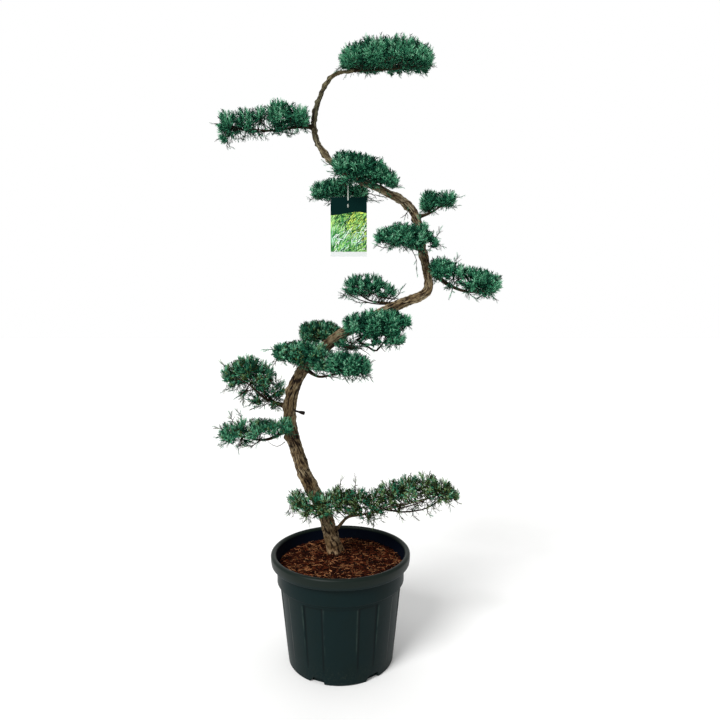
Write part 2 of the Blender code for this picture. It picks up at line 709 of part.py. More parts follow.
def spray_outline(root, along, across, length, width):
    """A toothed spray's outline, laid out from its root."""
    return [root + along * (u * length) + across * (v * width) for u, v in SPRAY_SHAPE]


def add_spray(name, outline):
    """A toothed blade: the outline, with a low ridge above and below it."""
    root = outline[0]
    tip = outline[len(outline) // 2]
    middle = root.lerp(tip, SPRAY_RIDGE)
    normal = (outline[1] - root).cross(outline[-1] - root).normalized() * (SPRAY_THICKNESS / 2)
    count = len(outline)
    points = [*outline, middle + normal, middle - normal]
    faces = [(i, (i + 1) % count, count) for i in range(count)]
    faces += [((i + 1) % count, i, count + 1) for i in range(count)]
    return add_object(name, points, faces)


def directions(count, turn):
    """Evenly spread directions, on a spiral from the top down."""
    golden = math.pi * (3 - math.sqrt(5))
    found = []
    for i in range(count):
        height = 1 - (2 * i + 1) / count
        ring = math.sqrt(1 - height ** 2)
        found.append(Vector((ring * math.cos(golden * i + turn), ring * math.sin(golden * i + turn), height)))
    return found


def lobe_point(lobe, direction, share):
    """The point this share of the way from a clump's middle to its outline."""
    tall = lobe.up if direction.z > 0 else lobe.down
    off = Vector((direction.x * lobe.wide, direction.y * lobe.deep, direction.z * tall))
    bulge = sum(abs(part) ** SQUARENESS for part in direction) ** (1 / SQUARENESS)
    return Vector((lobe.x, lobe.y, lobe.z)) + off * share / bulge


def add_core(name, lobe, chance):
    """A clump's dense inside: a lumpy ball with a flattened underside."""
    work = bmesh.new()
    bmesh.ops.create_icosphere(work, subdivisions=1, radius=1.0)
    for vert in work.verts:
        share = CORE_SHARE * (1 + chance.uniform(-CORE_LUMPS, CORE_LUMPS))
        vert.co = lobe_point(lobe, vert.co, share)
    mesh = bpy.data.meshes.new(name)
    work.to_mesh(mesh)
    work.free()
    core = bpy.data.objects.new(name, mesh)
    bpy.context.scene.collection.objects.link(core)
    return core


def lobe_sprays(pad, lobe, limbs, chance):
    """Outlines of the sprays that stand out of one clump and keep to the pad's own space."""
    size = (lobe.wide * lobe.deep + lobe.wide * (lobe.up + lobe.down) / 2) / 2
    count = max(LEAST_SPRAYS, round(2 * math.tau * size / SPRAY_AREA))
    found = []
    for direction in directions(count, chance.uniform(0, math.tau)):
        if direction.z < LOWEST_SPRAY:
            continue
        root = lobe_point(lobe, direction, SPRAY_ROOT)
        tip = lobe_point(lobe, direction, chance.uniform(*SPRAY_REACH))
        along = tip - root
        length = along.length
        along.normalize()
        tilt = Vector((chance.gauss(0, 1), chance.gauss(0, 1), chance.gauss(0, 1)))
        across = along.cross(tilt).normalized()
        width = min(SPRAY_WIDTH, SPRAY_SLIMNESS * length) * chance.uniform(*SPRAY_VARIETY)
        outline = spray_outline(root, along, across, length, width)
        tested = np.array([tuple(p) for p in outline[1:]])
        tip_place = np.array([tuple(tip)])
        hidden = any(depth_in(tip_place, other)[0] < DEEPEST_TIP for other in pad.lobes if other is not lobe)
        if hidden or not in_own_space(tested, pad):
            continue
        if all(room_beside(tested, limb) > SPRAY_CLEARANCE for name, limb in limbs.items()
               if name != f"stem_{pad.name}"):
            found.append(outline)
    return found


def build_mass(pad, limbs):
    """One pad: the stem, twigs that branch from it into each clump, the cores and their sprays."""
    chance = random.Random(pad.name)
    path, radii = stem_places(pad)
    points, faces = tube(path, radii, STEM_SIDES)
    stem = add_object(f"mass_{pad.name}", points, faces)
    parts = []
    for number, lobe in enumerate(pad.lobes):
        middle = Vector((lobe.x, lobe.y, lobe.z))
        fork = min(path[1:], key=lambda p: (p - middle).length)
        parts.append(add_core(f"core_{number}", lobe, chance))
        for outline in lobe_sprays(pad, lobe, limbs, chance):
            parts.append(add_spray(f"spray_{len(parts)}", outline))
        for direction in directions(TWIGS_PER_CLUMP, chance.uniform(0, math.tau)):
            end = lobe_point(lobe, direction, CORE_SHARE / 2)
            bend = fork.lerp(end, 0.5) - Vector((0.0, 0.0, TWIG_SAG))
            points, faces = tube([fork, bend, end], [TWIG_RADIUS * share for share in TWIG_TAPER], TWIG_SIDES)
            parts.append(add_object(f"twig_{len(parts)}", points, faces))
    mass = combined(f"mass_{pad.name}", stem, parts, "UNION", "MANIFOLD")
    cutters = [trunk_cutter(), *bough_cutters(), *tag_cutters()]
    mass = combined(f"mass_{pad.name}", mass, cutters, "DIFFERENCE", "MANIFOLD")
    keep_largest_body(mass)
    return mass


def box_object(name, low, high):
    """A plain box between two corners."""
    points = [(x, y, z) for x in (low[0], high[0]) for y in (low[1], high[1]) for z in (low[2], high[2])]
    faces = [(0, 1, 3, 2), (4, 6, 7, 5), (0, 4, 5, 1), (2, 3, 7, 6), (0, 2, 6, 4), (1, 5, 7, 3)]
    return add_object(name, points, faces)


def tag_cutters():
    """The room that foliage leaves for the tag."""
    return [box_object(f"tag_cutter_{i}", low, high) for i, (low, high) in enumerate(tag_rooms())]


def build_card():
    """The hang tag's card, with rounded corners and the slot that its tie runs through."""
    middle, front = CARD_MIDDLE
    half = CARD_WIDTH / 2 - CARD_CORNER
    rise = CARD_HEIGHT / 2 - CARD_CORNER
    centre = CARD_TOP - CARD_HEIGHT / 2
    outline = []
    for turn, (x, z) in enumerate(((half, rise), (-half, rise), (-half, -rise), (half, -rise))):
        for step in range(CARD_CORNER_STEPS + 1):
            angle = math.pi / 2 * (turn + step / CARD_CORNER_STEPS)
            outline.append((middle + x + CARD_CORNER * math.cos(angle),
                            centre + z + CARD_CORNER * math.sin(angle)))
    count = len(outline)
    points = [(x, front + depth, z) for depth in (0.0, CARD_THICKNESS) for x, z in outline]
    faces = [tuple(range(count)), tuple(reversed(range(count, 2 * count)))]
    faces += [((i + 1) % count, i, count + i, count + (i + 1) % count) for i in range(count)]
    card = add_object("tag_card", points, faces)
    slot = box_object("slot", (TIE_PLACE - SLOT_WIDTH / 2, front - WALL, SLOT_LEVEL - SLOT_HEIGHT / 2),
                      (TIE_PLACE + SLOT_WIDTH / 2, front + WALL, SLOT_LEVEL + SLOT_HEIGHT / 2))
    return combined("tag_card", card, [slot], "DIFFERENCE")


def build_tie():
    """The white tie: a flat band round the trunk that comes together through the card's slot."""
    centre, radius = trunk_at(TIE_LEVEL)
    _, front = CARD_MIDDLE
    reach = radius * (1 + KNOB_SIZE) / math.cos(math.pi / TRUNK_SIDES) + TIE_STAND_OFF
    foot = Vector((0.0, front + CARD_THICKNESS / 2, SLOT_LEVEL + SLOT_HEIGHT / 2 - TIE_THICKNESS / 2 - GAP))
    outline = []
    for step in range(TIE_STEPS + 1):
        angle = TIE_ARC[0] + (TIE_ARC[1] - TIE_ARC[0]) * step / TIE_STEPS
        outline.append(Vector((0.0, centre.y + reach * math.cos(angle), centre.z + reach * math.sin(angle))))
    near_leg, far_leg = (Vector((0.0, front + leg, foot.z + TIE_LEG_HEIGHT)) for leg in TIE_LEGS)
    outline += [near_leg, foot + Vector((0.0, -TIE_TURN, TIE_TURN / 2)), foot,
                foot + Vector((0.0, TIE_TURN, TIE_TURN / 2)), far_leg]
    count = len(outline)
    points = []
    for side in (-TIE_WIDTH / 2, TIE_WIDTH / 2):
        for skin in (-TIE_THICKNESS / 2, TIE_THICKNESS / 2):
            for i, place in enumerate(outline):
                ahead = (outline[(i + 1) % count] - outline[i - 1]).normalized()
                out = Vector((0.0, ahead.z, -ahead.y))
                points.append(place + out * skin + Vector((TIE_PLACE + side, 0.0, 0.0)))
    faces = []
    for i in range(count):
        after = (i + 1) % count
        loops = [(i, after), (2 * count + i, 2 * count + after), (3 * count + i, 3 * count + after),
                 (count + i, count + after)]
        for (a, b), (c, d) in zip(loops, loops[1:] + loops[:1]):
            faces.append((a, b, d, c))
    return add_object("tag_tie", points, faces)


def main():
    """Builds the container, the tree and its tag."""
    clear_scene()
    dress(build_pot(), MOULDED_PLASTIC)
    dress(build_soil(), BARK_MULCH)
    dress(build_trunk(), JUNIPER_BARK)
    dress(build_stub(), CUT_WOOD)
    limbs = limb_segments()
    for pad in PADS:
        if pad.bough_places:
            dress(build_bough(pad), JUNIPER_BARK)
        dress(build_mass(pad, limbs), JUNIPER_SPRAYS)
    dress(build_card(), PRINTED_CARD)
    dress(build_tie(), WHITE_STRAP)


main()
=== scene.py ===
"""The looks of a potted juniper niwaki: its moulded container, bark mulch, stringy bark, foliage
pads and hang tag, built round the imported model.

Metres throughout, +Z up, +X to the right and -Y towards whoever looks at the plant from its front.
"""

from __future__ import annotations

import logging
import math
import zlib
from collections.abc import Callable, Iterable
from dataclasses import dataclass, field
from enum import IntEnum
from functools import partial

import bpy
import numpy as np
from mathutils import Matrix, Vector
from numpy.typing import NDArray


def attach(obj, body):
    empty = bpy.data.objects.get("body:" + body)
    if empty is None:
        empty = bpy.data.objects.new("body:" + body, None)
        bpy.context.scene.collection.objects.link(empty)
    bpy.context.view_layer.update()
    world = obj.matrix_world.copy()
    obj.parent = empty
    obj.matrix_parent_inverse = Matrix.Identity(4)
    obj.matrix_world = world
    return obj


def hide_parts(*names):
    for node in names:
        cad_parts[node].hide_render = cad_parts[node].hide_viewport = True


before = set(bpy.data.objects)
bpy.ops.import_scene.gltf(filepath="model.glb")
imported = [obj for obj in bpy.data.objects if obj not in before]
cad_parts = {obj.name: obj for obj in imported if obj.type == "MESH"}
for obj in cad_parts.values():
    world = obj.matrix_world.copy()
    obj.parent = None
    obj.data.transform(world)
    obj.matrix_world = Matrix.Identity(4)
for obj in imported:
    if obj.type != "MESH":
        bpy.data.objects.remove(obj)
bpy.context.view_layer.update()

LOG = logging.getLogger("juniper")
BODY = "root"
UP = np.array([0.0, 0.0, 1.0])
BACK = np.array([0.0, 1.0, 0.0])
GOLDEN_TURN = math.pi * (3.0 - math.sqrt(5.0))
MM = 1000.0

Array = NDArray[np.float64]
Faces = NDArray[np.int64]
Mask = NDArray[np.bool_]
Place = tuple[float, float, float]
Twigs = list[tuple[Array, float]]
Material, Object, Socket = bpy.types.Material, bpy.types.Object, bpy.types.NodeSocket
AddNode = Callable[..., Socket]
Feeds = dict[str, Socket]


# Small tools for numbers and shapes

def seeded(name: str) -> np.random.Generator:
    """A source of chance that depends only on this name."""
    return np.random.default_rng(zlib.crc32(name.encode()))


def unit(vectors: Array) -> Array:
    """Vectors scaled to a length of one."""
    return vectors / np.maximum(np.linalg.norm(vectors, axis=-1, keepdims=True), 1e-12)


def ease(low: float, high: float, value: Array) -> Array:
    """A smooth step: 0 below low, 1 above high, and 3t² - 2t³ of the share t between."""
    share = np.clip((value - low) / (high - low), 0.0, 1.0)
    return share * share * (3.0 - 2.0 * share)


def ripple(points: Array, wavelength: float, seed: int, waves: int = 9) -> Array:
    """Smooth noise about 0 and mostly within 1: the mean of sine waves that run in random ways.

    Args:
        points: Places, the last axis being x, y and z.
        wavelength: The waves' length in metres.
        seed: Picks the waves.
        waves: How many waves are summed.

    Returns:
        One value for each place.
    """
    chance = np.random.default_rng(seed)
    ways = unit(chance.normal(size=(waves, 3))) * (math.tau / wavelength)
    ways *= chance.uniform(0.7, 1.4, (waves, 1))
    phases = chance.uniform(0.0, math.tau, waves)
    return np.sin(points @ ways.T + phases).sum(axis=-1) * (1.6 / waves)


def lattice_noise(across: Array, along: Array, cells: int, seed: int) -> Array:
    """Value noise from 0 to 1 that closes on itself across: random lattice values, eased between.

    Args:
        across: The place across in turns, so that 0 and 1 meet.
        along: The place along, in lattice cells.
        cells: The number of lattice cells in one turn.
        seed: Picks the lattice.

    Returns:
        One value for each place.
    """
    rows = int(np.ceil(along.max() - min(along.min(), 0.0))) + 3
    values = np.random.default_rng(seed).uniform(size=(cells, rows))
    u = (across % 1.0) * cells
    v = along - min(along.min(), 0.0)
    left, low = np.floor(u).astype(int), np.floor(v).astype(int)
    fu, fv = u - left, v - low
    fu, fv = fu * fu * (3 - 2 * fu), fv * fv * (3 - 2 * fv)
    left, right = left % cells, (left + 1) % cells
    near = values[left, low] * (1 - fu) + values[right, low] * fu
    far = values[left, low + 1] * (1 - fu) + values[right, low + 1] * fu
    return near * (1 - fv) + far * fv


def once_round(count: int) -> Array:
    """So many angles, evenly once round from 0."""
    return np.arange(count) * (math.tau / count)


def polar(reach: Array, angle: Array) -> tuple[Array, Array]:
    """The two coordinates of places so far out at an angle: r cos a and r sin a."""
    return reach * np.cos(angle), reach * np.sin(angle)


def rows_at(wanted: Array, along: Array, rows: Array) -> Array:
    """The rows at the wanted places along, each column in a straight line between two rows."""
    return np.stack([np.interp(wanted, along, column) for column in rows.T], axis=-1)


def bell(value: Array, middle: float, width: float) -> Array:
    """A bell that is 1 in the middle: e to the power of -((value - middle) / width)²."""
    return np.exp(-((value - middle) / width) ** 2)


def cubic_curve(a: Array, b: Array, c: Array, d: Array, steps: int) -> Array:
    """The smooth curve from each place b to its c, with a before and d after them: half of
    2b + (c - a)t + (2a - 5b + 4c - d)t² + (3b - a - 3c + d)t³.

    Args:
        a: The places before, one a row.
        b: Where each stretch starts.
        c: Where it ends.
        d: The places after.
        steps: How many points a stretch gets, its end not among them.

    Returns:
        The points, one a row.
    """
    t = np.linspace(0.0, 1.0, steps, endpoint=False)[None, :, None]
    a, b, c, d = a[:, None], b[:, None], c[:, None], d[:, None]
    curve = 0.5 * (2 * b + (c - a) * t + (2 * a - 5 * b + 4 * c - d) * t ** 2
                   + (3 * b - a - 3 * c + d) * t ** 3)
    return curve.reshape(-1, curve.shape[-1])


def smooth_path(places: Array, count: int) -> Array:
    """Evenly spaced points on the smooth curve through some places.

    Args:
        places: The places, one a row.
        count: How many points the curve gets.

    Returns:
        The points, one a row.
    """
    places = np.asarray(places, float)
    ends = np.vstack([2 * places[0] - places[1], places, 2 * places[-1] - places[-2]])
    curve = cubic_curve(*(ends[i:len(ends) - 3 + i] for i in range(4)), 24)
    return resample(np.vstack([curve, places[-1:]]), count)


def lengths_along(path: Array) -> Array:
    """The length along a path at each of its points."""
    steps = np.linalg.norm(np.diff(path, axis=0), axis=1)
    return np.concatenate([[0.0], np.cumsum(steps)])


def resample(path: Array, count: int) -> Array:
    """The same path as so many evenly spaced points."""
    along = lengths_along(path)
    return rows_at(np.linspace(0.0, along[-1], count), along, path)


def cross_frames(paths: Array, reference: Array) -> tuple[Array, Array]:
    """Two directions square to each path at each point, the first as near the reference as can be.

    Args:
        paths: Points, with the point number on the last axis but one.
        reference: A direction, or one for each path, that no path runs along.

    Returns:
        The first direction and the one square to it and to the path.
    """
    ahead = unit(np.gradient(paths, axis=-2))
    reference = np.broadcast_to(reference, ahead.shape)
    across = unit(reference - ahead * (reference * ahead).sum(-1, keepdims=True))
    return across, np.cross(ahead, across)


def tube_points(paths: Array, radii: Array, sides: int, reference: Array) -> Array:
    """A ring of points round each path point: place + r(cos a · across + sin a · other).

    Args:
        paths: Points of one path or of many, shape (..., rings, 3).
        radii: The radius of each ring, or of each point of each ring.
        sides: Points in a ring.
        reference: The direction that angle 0 faces.

    Returns:
        Points of shape (..., rings, sides, 3).
    """
    across, other = cross_frames(paths, reference)
    angles = once_round(sides)[:, None]
    if radii.ndim == paths.ndim - 1:
        radii = radii[..., None]
    spread = np.cos(angles) * across[..., None, :] + np.sin(angles) * other[..., None, :]
    return paths[..., None, :] + radii[..., None] * spread


def tube_faces(points: Array, first: int = 0) -> list[Faces]:
    """The side faces and the end faces of tubes.

    Args:
        points: The tubes' rings of points, shape (..., rings, sides, 3).
        first: The number of the first point.

    Returns:
        The four-cornered side faces, and the two end faces of each tube.
    """
    rings, sides = points.shape[-3:-1]
    number = first + np.arange(points[..., 0].size).reshape(-1, rings, sides)
    beside = np.roll(number, -1, axis=2)
    quads = np.stack([number[:, :-1], beside[:, :-1], beside[:, 1:], number[:, 1:]], axis=-1)
    return [quads.reshape(-1, 4), np.vstack([number[:, 0, ::-1], number[:, -1]])]


def grid_quads(rows: int, columns: int) -> Faces:
    """The faces of one open grid of points.

    Args:
        rows: Its rows of points.
        columns: The points in a row.

    Returns:
        Four-cornered faces.
    """
    row, column = np.meshgrid(np.arange(rows - 1), np.arange(columns - 1), indexing="ij")
    low = row * columns + column
    return np.stack([low, low + 1, low + columns + 1, low + columns], axis=-1).reshape(-1, 4)


def make_piece(name: str, points: Array, finishes: list[Material], faces: list[Faces] | None = None,
               slots: Faces | None = None, smooth: bool = True, uv: Array | None = None,
               relief: Array | None = None) -> Object:
    """A mesh object from whole arrays.

    Args:
        name: The piece's name.
        points: Its points, x, y and z being the last axis.
        finishes: The materials, in slot order.
        faces: Arrays of faces, each array with its own number of corners. Points without them are
            tubes, shape (..., rings, sides, 3), and get the faces of tubes.
        slots: The material slot of each face, all 0 if left out.
        smooth: Whether its faces are shaded smooth.
        uv: A place on the surface for each point, for the UV map "surface".
        relief: A value from 0 to 1 for each point, for the attribute "relief".

    Returns:
        The object, linked to the scene.
    """
    faces = faces or tube_faces(points)
    mesh = bpy.data.meshes.new(name)
    corners = np.concatenate([f.reshape(-1) for f in faces]).astype(np.int32)
    sizes = np.concatenate([np.full(len(f), f.shape[1]) for f in faces])
    starts = np.concatenate([[0], np.cumsum(sizes)[:-1]]).astype(np.int32)
    mesh.vertices.add(points.size // 3)
    mesh.vertices.foreach_set("co", np.ascontiguousarray(points, np.float32).reshape(-1))
    mesh.loops.add(len(corners))
    mesh.loops.foreach_set("vertex_index", corners)
    mesh.polygons.add(len(sizes))
    mesh.polygons.foreach_set("loop_start", starts)
    if slots is not None:
        mesh.polygons.foreach_set("material_index", slots.astype(np.int32))
    if uv is not None:
        places = uv.reshape(-1, 2)[corners].astype(np.float32)
        mesh.uv_layers.new(name="surface").data.foreach_set("uv", places.reshape(-1))
    if relief is not None:
        layer = mesh.attributes.new("relief", "FLOAT", "POINT")
        layer.data.foreach_set("value", relief.astype(np.float32).reshape(-1))
    mesh.polygons.foreach_set("use_smooth", np.full(len(sizes), smooth))
    mesh.update(calc_edges=True)
    mesh.validate()
    for finish in finishes:
        mesh.materials.append(finish)
    piece = bpy.data.objects.new(name, mesh)
    bpy.context.scene.collection.objects.link(piece)
    return piece


def settle(piece: Object, slot: str, *nodes: str) -> None:
    """Puts a finished piece on the plant's body and reports it.

    Args:
        piece: The piece.
        slot: The name of its finish slot; not used.
        *nodes: The solids that it stands for.
    """
    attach(piece, BODY)
    if nodes:
        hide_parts(*nodes)
    LOG.info("%s: %d faces", piece.name, len(piece.data.polygons))


# Finishes

def linear(colour: str) -> tuple[float, ...]:
    """An sRGB colour such as "#3a4f48" as linear red, green, blue and an alpha of one."""
    shares = (int(colour[i:i + 2], 16) / 255 for i in (1, 3, 5))
    return (*(s / 12.92 if s <= 0.04045 else ((s + 0.055) / 1.055) ** 2.4 for s in shares), 1.0)


def add_node(tree: bpy.types.NodeTree, kind: str, inputs: dict | list | None = None,
             output: int | str = 0, stops: Iterable[tuple[float, str]] = (),
             **settings: object) -> Socket:
    """Adds a node with its settings, its values and its links.

    Args:
        tree: The node tree.
        kind: The node's type, such as "TexNoise".
        inputs: A value for each named or numbered input, or the output socket that feeds it. A
            list holds them for the first inputs.
        output: The name or number of the output that is wanted.
        stops: A colour ramp's stops of place and sRGB colour.
        **settings: Properties of the node itself.

    Returns:
        The output.
    """
    node = tree.nodes.new("ShaderNode" + kind)
    for name, value in settings.items():
        setattr(node, name, value)
    for name, value in inputs.items() if isinstance(inputs, dict) else enumerate(inputs or ()):
        if isinstance(value, Socket):
            tree.links.new(value, node.inputs[name])
        else:
            node.inputs[name].default_value = value
    stops = list(stops)
    while stops and len(node.color_ramp.elements) < len(stops):
        node.color_ramp.elements.new(1.0)
    for number, (place, colour) in enumerate(stops):
        node.color_ramp.elements[number].position = place
        node.color_ramp.elements[number].color = linear(colour)
    return node.outputs[output]


@dataclass(frozen=True)
class Finish:
    """What every finish has: the name of the real material, and its plain shader values."""

    name: str
    roughness: float
    gloss: float = 0.5

    def feeds(self, add: AddNode) -> Feeds:
        """What feeds the shader's inputs: nothing, unless a finish says more."""
        return {}

    def build(self) -> Material:
        """Makes the material with its plain values, and links what feeds it.

        Returns:
            The material.
        """
        made = bpy.data.materials.new(self.name)
        made.use_nodes = True
        tree = made.node_tree
        shader = tree.nodes["Principled BSDF"]
        shader.inputs["Roughness"].default_value = self.roughness
        shader.inputs["Specular IOR Level"].default_value = self.gloss
        for name, socket in self.feeds(partial(add_node, tree)).items():
            tree.links.new(socket, shader.inputs[name])
        return made


@dataclass(frozen=True)
class PlainFinish(Finish):
    """One even colour, dealt out among many small things such as sprays and fibres."""

    colour: str = "#808080"

    def build(self) -> Material:
        """Makes the material, its colour on the shader's own socket.

        Returns:
            The material.
        """
        made, colour = super().build(), linear(self.colour)
        made.node_tree.nodes["Principled BSDF"].inputs["Base Color"].default_value = colour
        made.diffuse_color = colour
        return made


@dataclass(frozen=True)
class MouldedPlastic(Finish):
    """Injection-moulded polypropylene, dark green: satin, duller and more olive on its rim where
    hands have worn it, with painted highlights on the edges of its flutes and painted shade in
    their corners and under their tops, and fine upright drag marks."""

    body: str = "#0c1c1d"
    rim: str = "#101a15"
    # The next two colours: the painted highlight on the flutes' edges, and the painted shade in their
    # corners and under their tops.
    edge_highlight: str = "#37453f"
    painted_shade: str = "#04090b"
    dust: str = "#3a3f36"
    rim_gloss: float = 0.13
    lip_level: float = 0.350
    dust_height: float = 0.10
    cloud_mm: float = 71.4
    speck_mm: float = 6.25
    grain_mm: float = 1.2

    def feeds(self, add: AddNode) -> Feeds:
        """Colour by height and by cloudy noise, a painted highlight where the relief attribute and
        noise are both high, painted shade where that attribute is low, dust low down, and a fine grain.

        Args:
            add: Adds a node to the material.

        Returns:
            What feeds the shader's inputs.
        """
        place = add("TexCoord", output="Object")
        height = add("SeparateXYZ", [place], "Z")
        highlight_and_shade = add("Attribute", output="Fac", attribute_name="relief")
        cloud = add("TexNoise", {"Vector": place, "Scale": MM / self.cloud_mm, "Detail": 5.0,
                                 "Roughness": 0.6})
        specks = add("TexNoise", {"Vector": place, "Scale": MM / self.speck_mm, "Detail": 6.0,
                                  "Roughness": 0.7})
        upright = add("Mapping", {"Vector": place, "Scale": (1.0, 1.0, 0.08)})
        grain = add("TexNoise", {"Vector": upright, "Scale": MM / self.grain_mm})
        lip = add("MapRange", [height, self.lip_level, self.lip_level + 0.02, 0.0, 0.9],
                  interpolation_type="SMOOTHSTEP")
        low = add("MapRange", [height, self.dust_height, 0.0], interpolation_type="SMOOTHSTEP")
        faded = add("Math", [lip, add("MapRange", [cloud, 0.45, 0.75, 0.0, 0.35])], operation="MAXIMUM")
        # Painted highlight on the flutes' edges, painted shade in their corners and under their tops.
        painted_highlight = add("Math", [add("MapRange", [highlight_and_shade, 0.5, 1.0]), add("MapRange", [cloud, 0.38, 0.66])],
                     operation="MULTIPLY")
        painted_shade_share = add("MapRange", [highlight_and_shade, 0.5, 0.0, 0.0, 0.7])
        dusty = add("Math", [low, add("MapRange", [specks, 0.52, 0.72, 0.0, 0.50])],
                    operation="MULTIPLY")
        colour = linear(self.body)
        for share, over in ((faded, self.rim), (painted_highlight, self.edge_highlight), (painted_shade_share, self.painted_shade),
                            (dusty, self.dust)):
            colour = add("Mix", {0: share, 6: colour, 7: linear(over)}, 2, data_type="RGBA")
        return {"Base Color": colour,
                "Specular IOR Level": add("MapRange", [height, self.lip_level, self.lip_level + 0.01,
                                                       self.gloss, self.rim_gloss]),
                "Normal": add("Bump", {"Height": grain, "Strength": 0.25, "Distance": 0.0002})}


@dataclass(frozen=True)
class JuniperBark(Finish):
    """Stringy juniper bark: dry strips that lift and shred along the stem, silver-brown where they
    have weathered, with reddish brown inner bark in the furrows between them and painted shade,
    near black, at the furrows' bottoms."""

    furrow: str = "#0b0805"
    inner: str = "#37281c"
    strip: str = "#877659"
    weathered: str = "#b0a388"
    lichen: str = "#4d4f36"
    fibre_mm: float = 2.0
    plate_mm: float = 6.5
    patch_mm: float = 38.5
    tallest: float = 2.2
    # Tones by height: how old the bark is, and darker bands of painted shade where the pads shade the
    # trunk.
    ages: tuple[tuple[float, str], ...] = (
        (0.35, "#ffe8d8"), (0.43, "#e4d8cb"), (0.58, "#ded6cb"), (0.70, "#d2cbc1"), (0.77, "#b8b0a6"),
        (0.90, "#bdb7ac"), (1.05, "#cbc5ba"), (1.14, "#b0aa9f"), (1.20, "#d9d3ca"), (1.29, "#f4f0e8"),
        (1.34, "#bcb4a9"), (1.38, "#f0ebe3"), (1.60, "#ffffff"), (1.90, "#97a39d"), (2.03, "#b9bfb2"))

    def feeds(self, add: AddNode) -> Feeds:
        """Colour by the relief, with painted shade at the furrows' bottoms, streaked along the stem,
        blotched plate by plate, patched with grey and with a little green, and toned by its height on
        the plant: how old the bark is, and bands of painted shade where the pads shade the trunk.

        Args:
            add: Adds a node to the material.

        Returns:
            What feeds the shader's inputs.
        """
        surface = add("UVMap", uv_map="surface")
        shade = add("Attribute", output="Fac", attribute_name="relief")
        streaks = []
        for size, drawn_out, detail, gain in ((self.fibre_mm, 0.12, 4.0, 1.4),
                                              (self.plate_mm, 0.45, 3.0, 1.7)):
            along = add("Mapping", {"Vector": surface, "Scale": (1.0, drawn_out, 1.0)})
            streaks.append(add("TexNoise", {"Vector": along, "Scale": MM / size, "Detail": detail,
                                            "Roughness": 0.65}))
            centred = add("Math", [streaks[-1], gain, -gain / 2], operation="MULTIPLY_ADD")
            shade = add("Math", [shade, centred], operation="ADD")
        patches = add("TexNoise", {"Vector": surface, "Scale": MM / self.patch_mm, "Detail": 3.0})
        # The lowest relief, at the furrows' bottoms, is painted near black as shade.
        deep = ((0.24, self.furrow), (0.52, self.inner))
        brown, grey = (add("ValToRGB", [shade], stops=(*deep, (1.0, end)))
                       for end in (self.strip, self.weathered))
        height = add("SeparateXYZ", [add("TexCoord", output="Object")], "Z")
        age_and_shade = add("ValToRGB", [add("MapRange", [height, 0.0, self.tallest])],
                  stops=((level / self.tallest, tone) for level, tone in self.ages))
        colour = add("Mix", {0: add("MapRange", [patches, 0.42, 0.58]), 6: brown, 7: grey}, 2,
                     data_type="RGBA")
        green = add("MapRange", [patches, 0.60, 0.70, 0.0, 0.55])
        colour = add("Mix", {0: green, 6: colour, 7: linear(self.lichen)}, 2, data_type="RGBA")
        return {"Base Color": add("Mix", {0: 1.0, 6: colour, 7: age_and_shade}, 2, data_type="RGBA",
                                  blend_type="MULTIPLY"),
                "Normal": add("Bump", {"Height": streaks[0], "Strength": 1.0, "Distance": 0.0016})}


@dataclass(frozen=True)
class DampSubstrate(Finish):
    """Peat and shredded bark between the fibres of the mulch: damp, nearly black-brown crumbs."""

    dark: str = "#0b0402"
    crumb: str = "#2c1107"
    crumb_mm: float = 7.0

    def feeds(self, add: AddNode) -> Feeds:
        """Crumbs of cloudy noise with a rough bump.

        Args:
            add: Adds a node to the material.

        Returns:
            What feeds the shader's inputs.
        """
        crumbs = add("TexNoise", {"Vector": add("TexCoord", output="Object"),
                                  "Scale": MM / self.crumb_mm, "Detail": 6.0, "Roughness": 0.7})
        return {"Base Color": add("ValToRGB", [crumbs], stops=((0.38, self.dark), (0.66, self.crumb))),
                "Normal": add("Bump", {"Height": crumbs, "Strength": 0.8, "Distance": 0.003})}


@dataclass(frozen=True)
class PrintedPicture(Finish):
    """Offset-printed card: a soft out-of-focus meadow, mid-green low down and yellow-green above."""

    bright: str = "#cfe666"
    pale: str = "#a2d685"
    deep: str = "#4f9d50"
    blur_mm: float = 30.0
    middle: float = 1.50
    span: float = 0.10

    def feeds(self, add: AddNode) -> Feeds:
        """Large soft clouds of three greens, brighter towards the upper right.

        Args:
            add: Adds a node to the material.

        Returns:
            What feeds the shader's inputs.
        """
        place = add("TexCoord", output="Object")
        slope = (0.8 / self.span, 0.0, 1.0 / self.span)
        across = add("VectorMath", [place, slope], "Value", operation="DOT_PRODUCT")
        clouds = add("TexNoise", {"Vector": place, "Scale": MM / self.blur_mm, "Detail": 1.0})
        clouds = add("Math", [clouds, 1.2, -self.middle / self.span - 0.2], operation="MULTIPLY_ADD")
        share = add("Math", [across, clouds], operation="ADD")
        return {"Base Color": add("ValToRGB", [share], stops=(
            (0.10, self.deep), (0.62, self.pale), (1.0, self.bright)))}


@dataclass(frozen=True)
class EdgedPlastic(Finish):
    """Extruded strap plastic: milky white and slightly waxy, scored across at an even pitch."""

    colour: str = "#b6beb4"
    scored: str = "#9aa198"
    score_mm: float = 1.5

    def feeds(self, add: AddNode) -> Feeds:
        """Even colour with fine scores across the strap.

        Args:
            add: Adds a node to the material.

        Returns:
            What feeds the shader's inputs.
        """
        pitch = MM / self.score_mm / math.tau * 0.31
        scores = add("TexWave", {"Vector": add("UVMap", uv_map="surface"), "Scale": pitch}, "Fac",
                     bands_direction="Y")
        stops = ((0.0, self.scored), (0.35, self.colour))
        return {"Base Color": add("ValToRGB", [scores], stops=stops),
                "Normal": add("Bump", {"Height": scores, "Strength": 0.3, "Distance": 0.0002})}


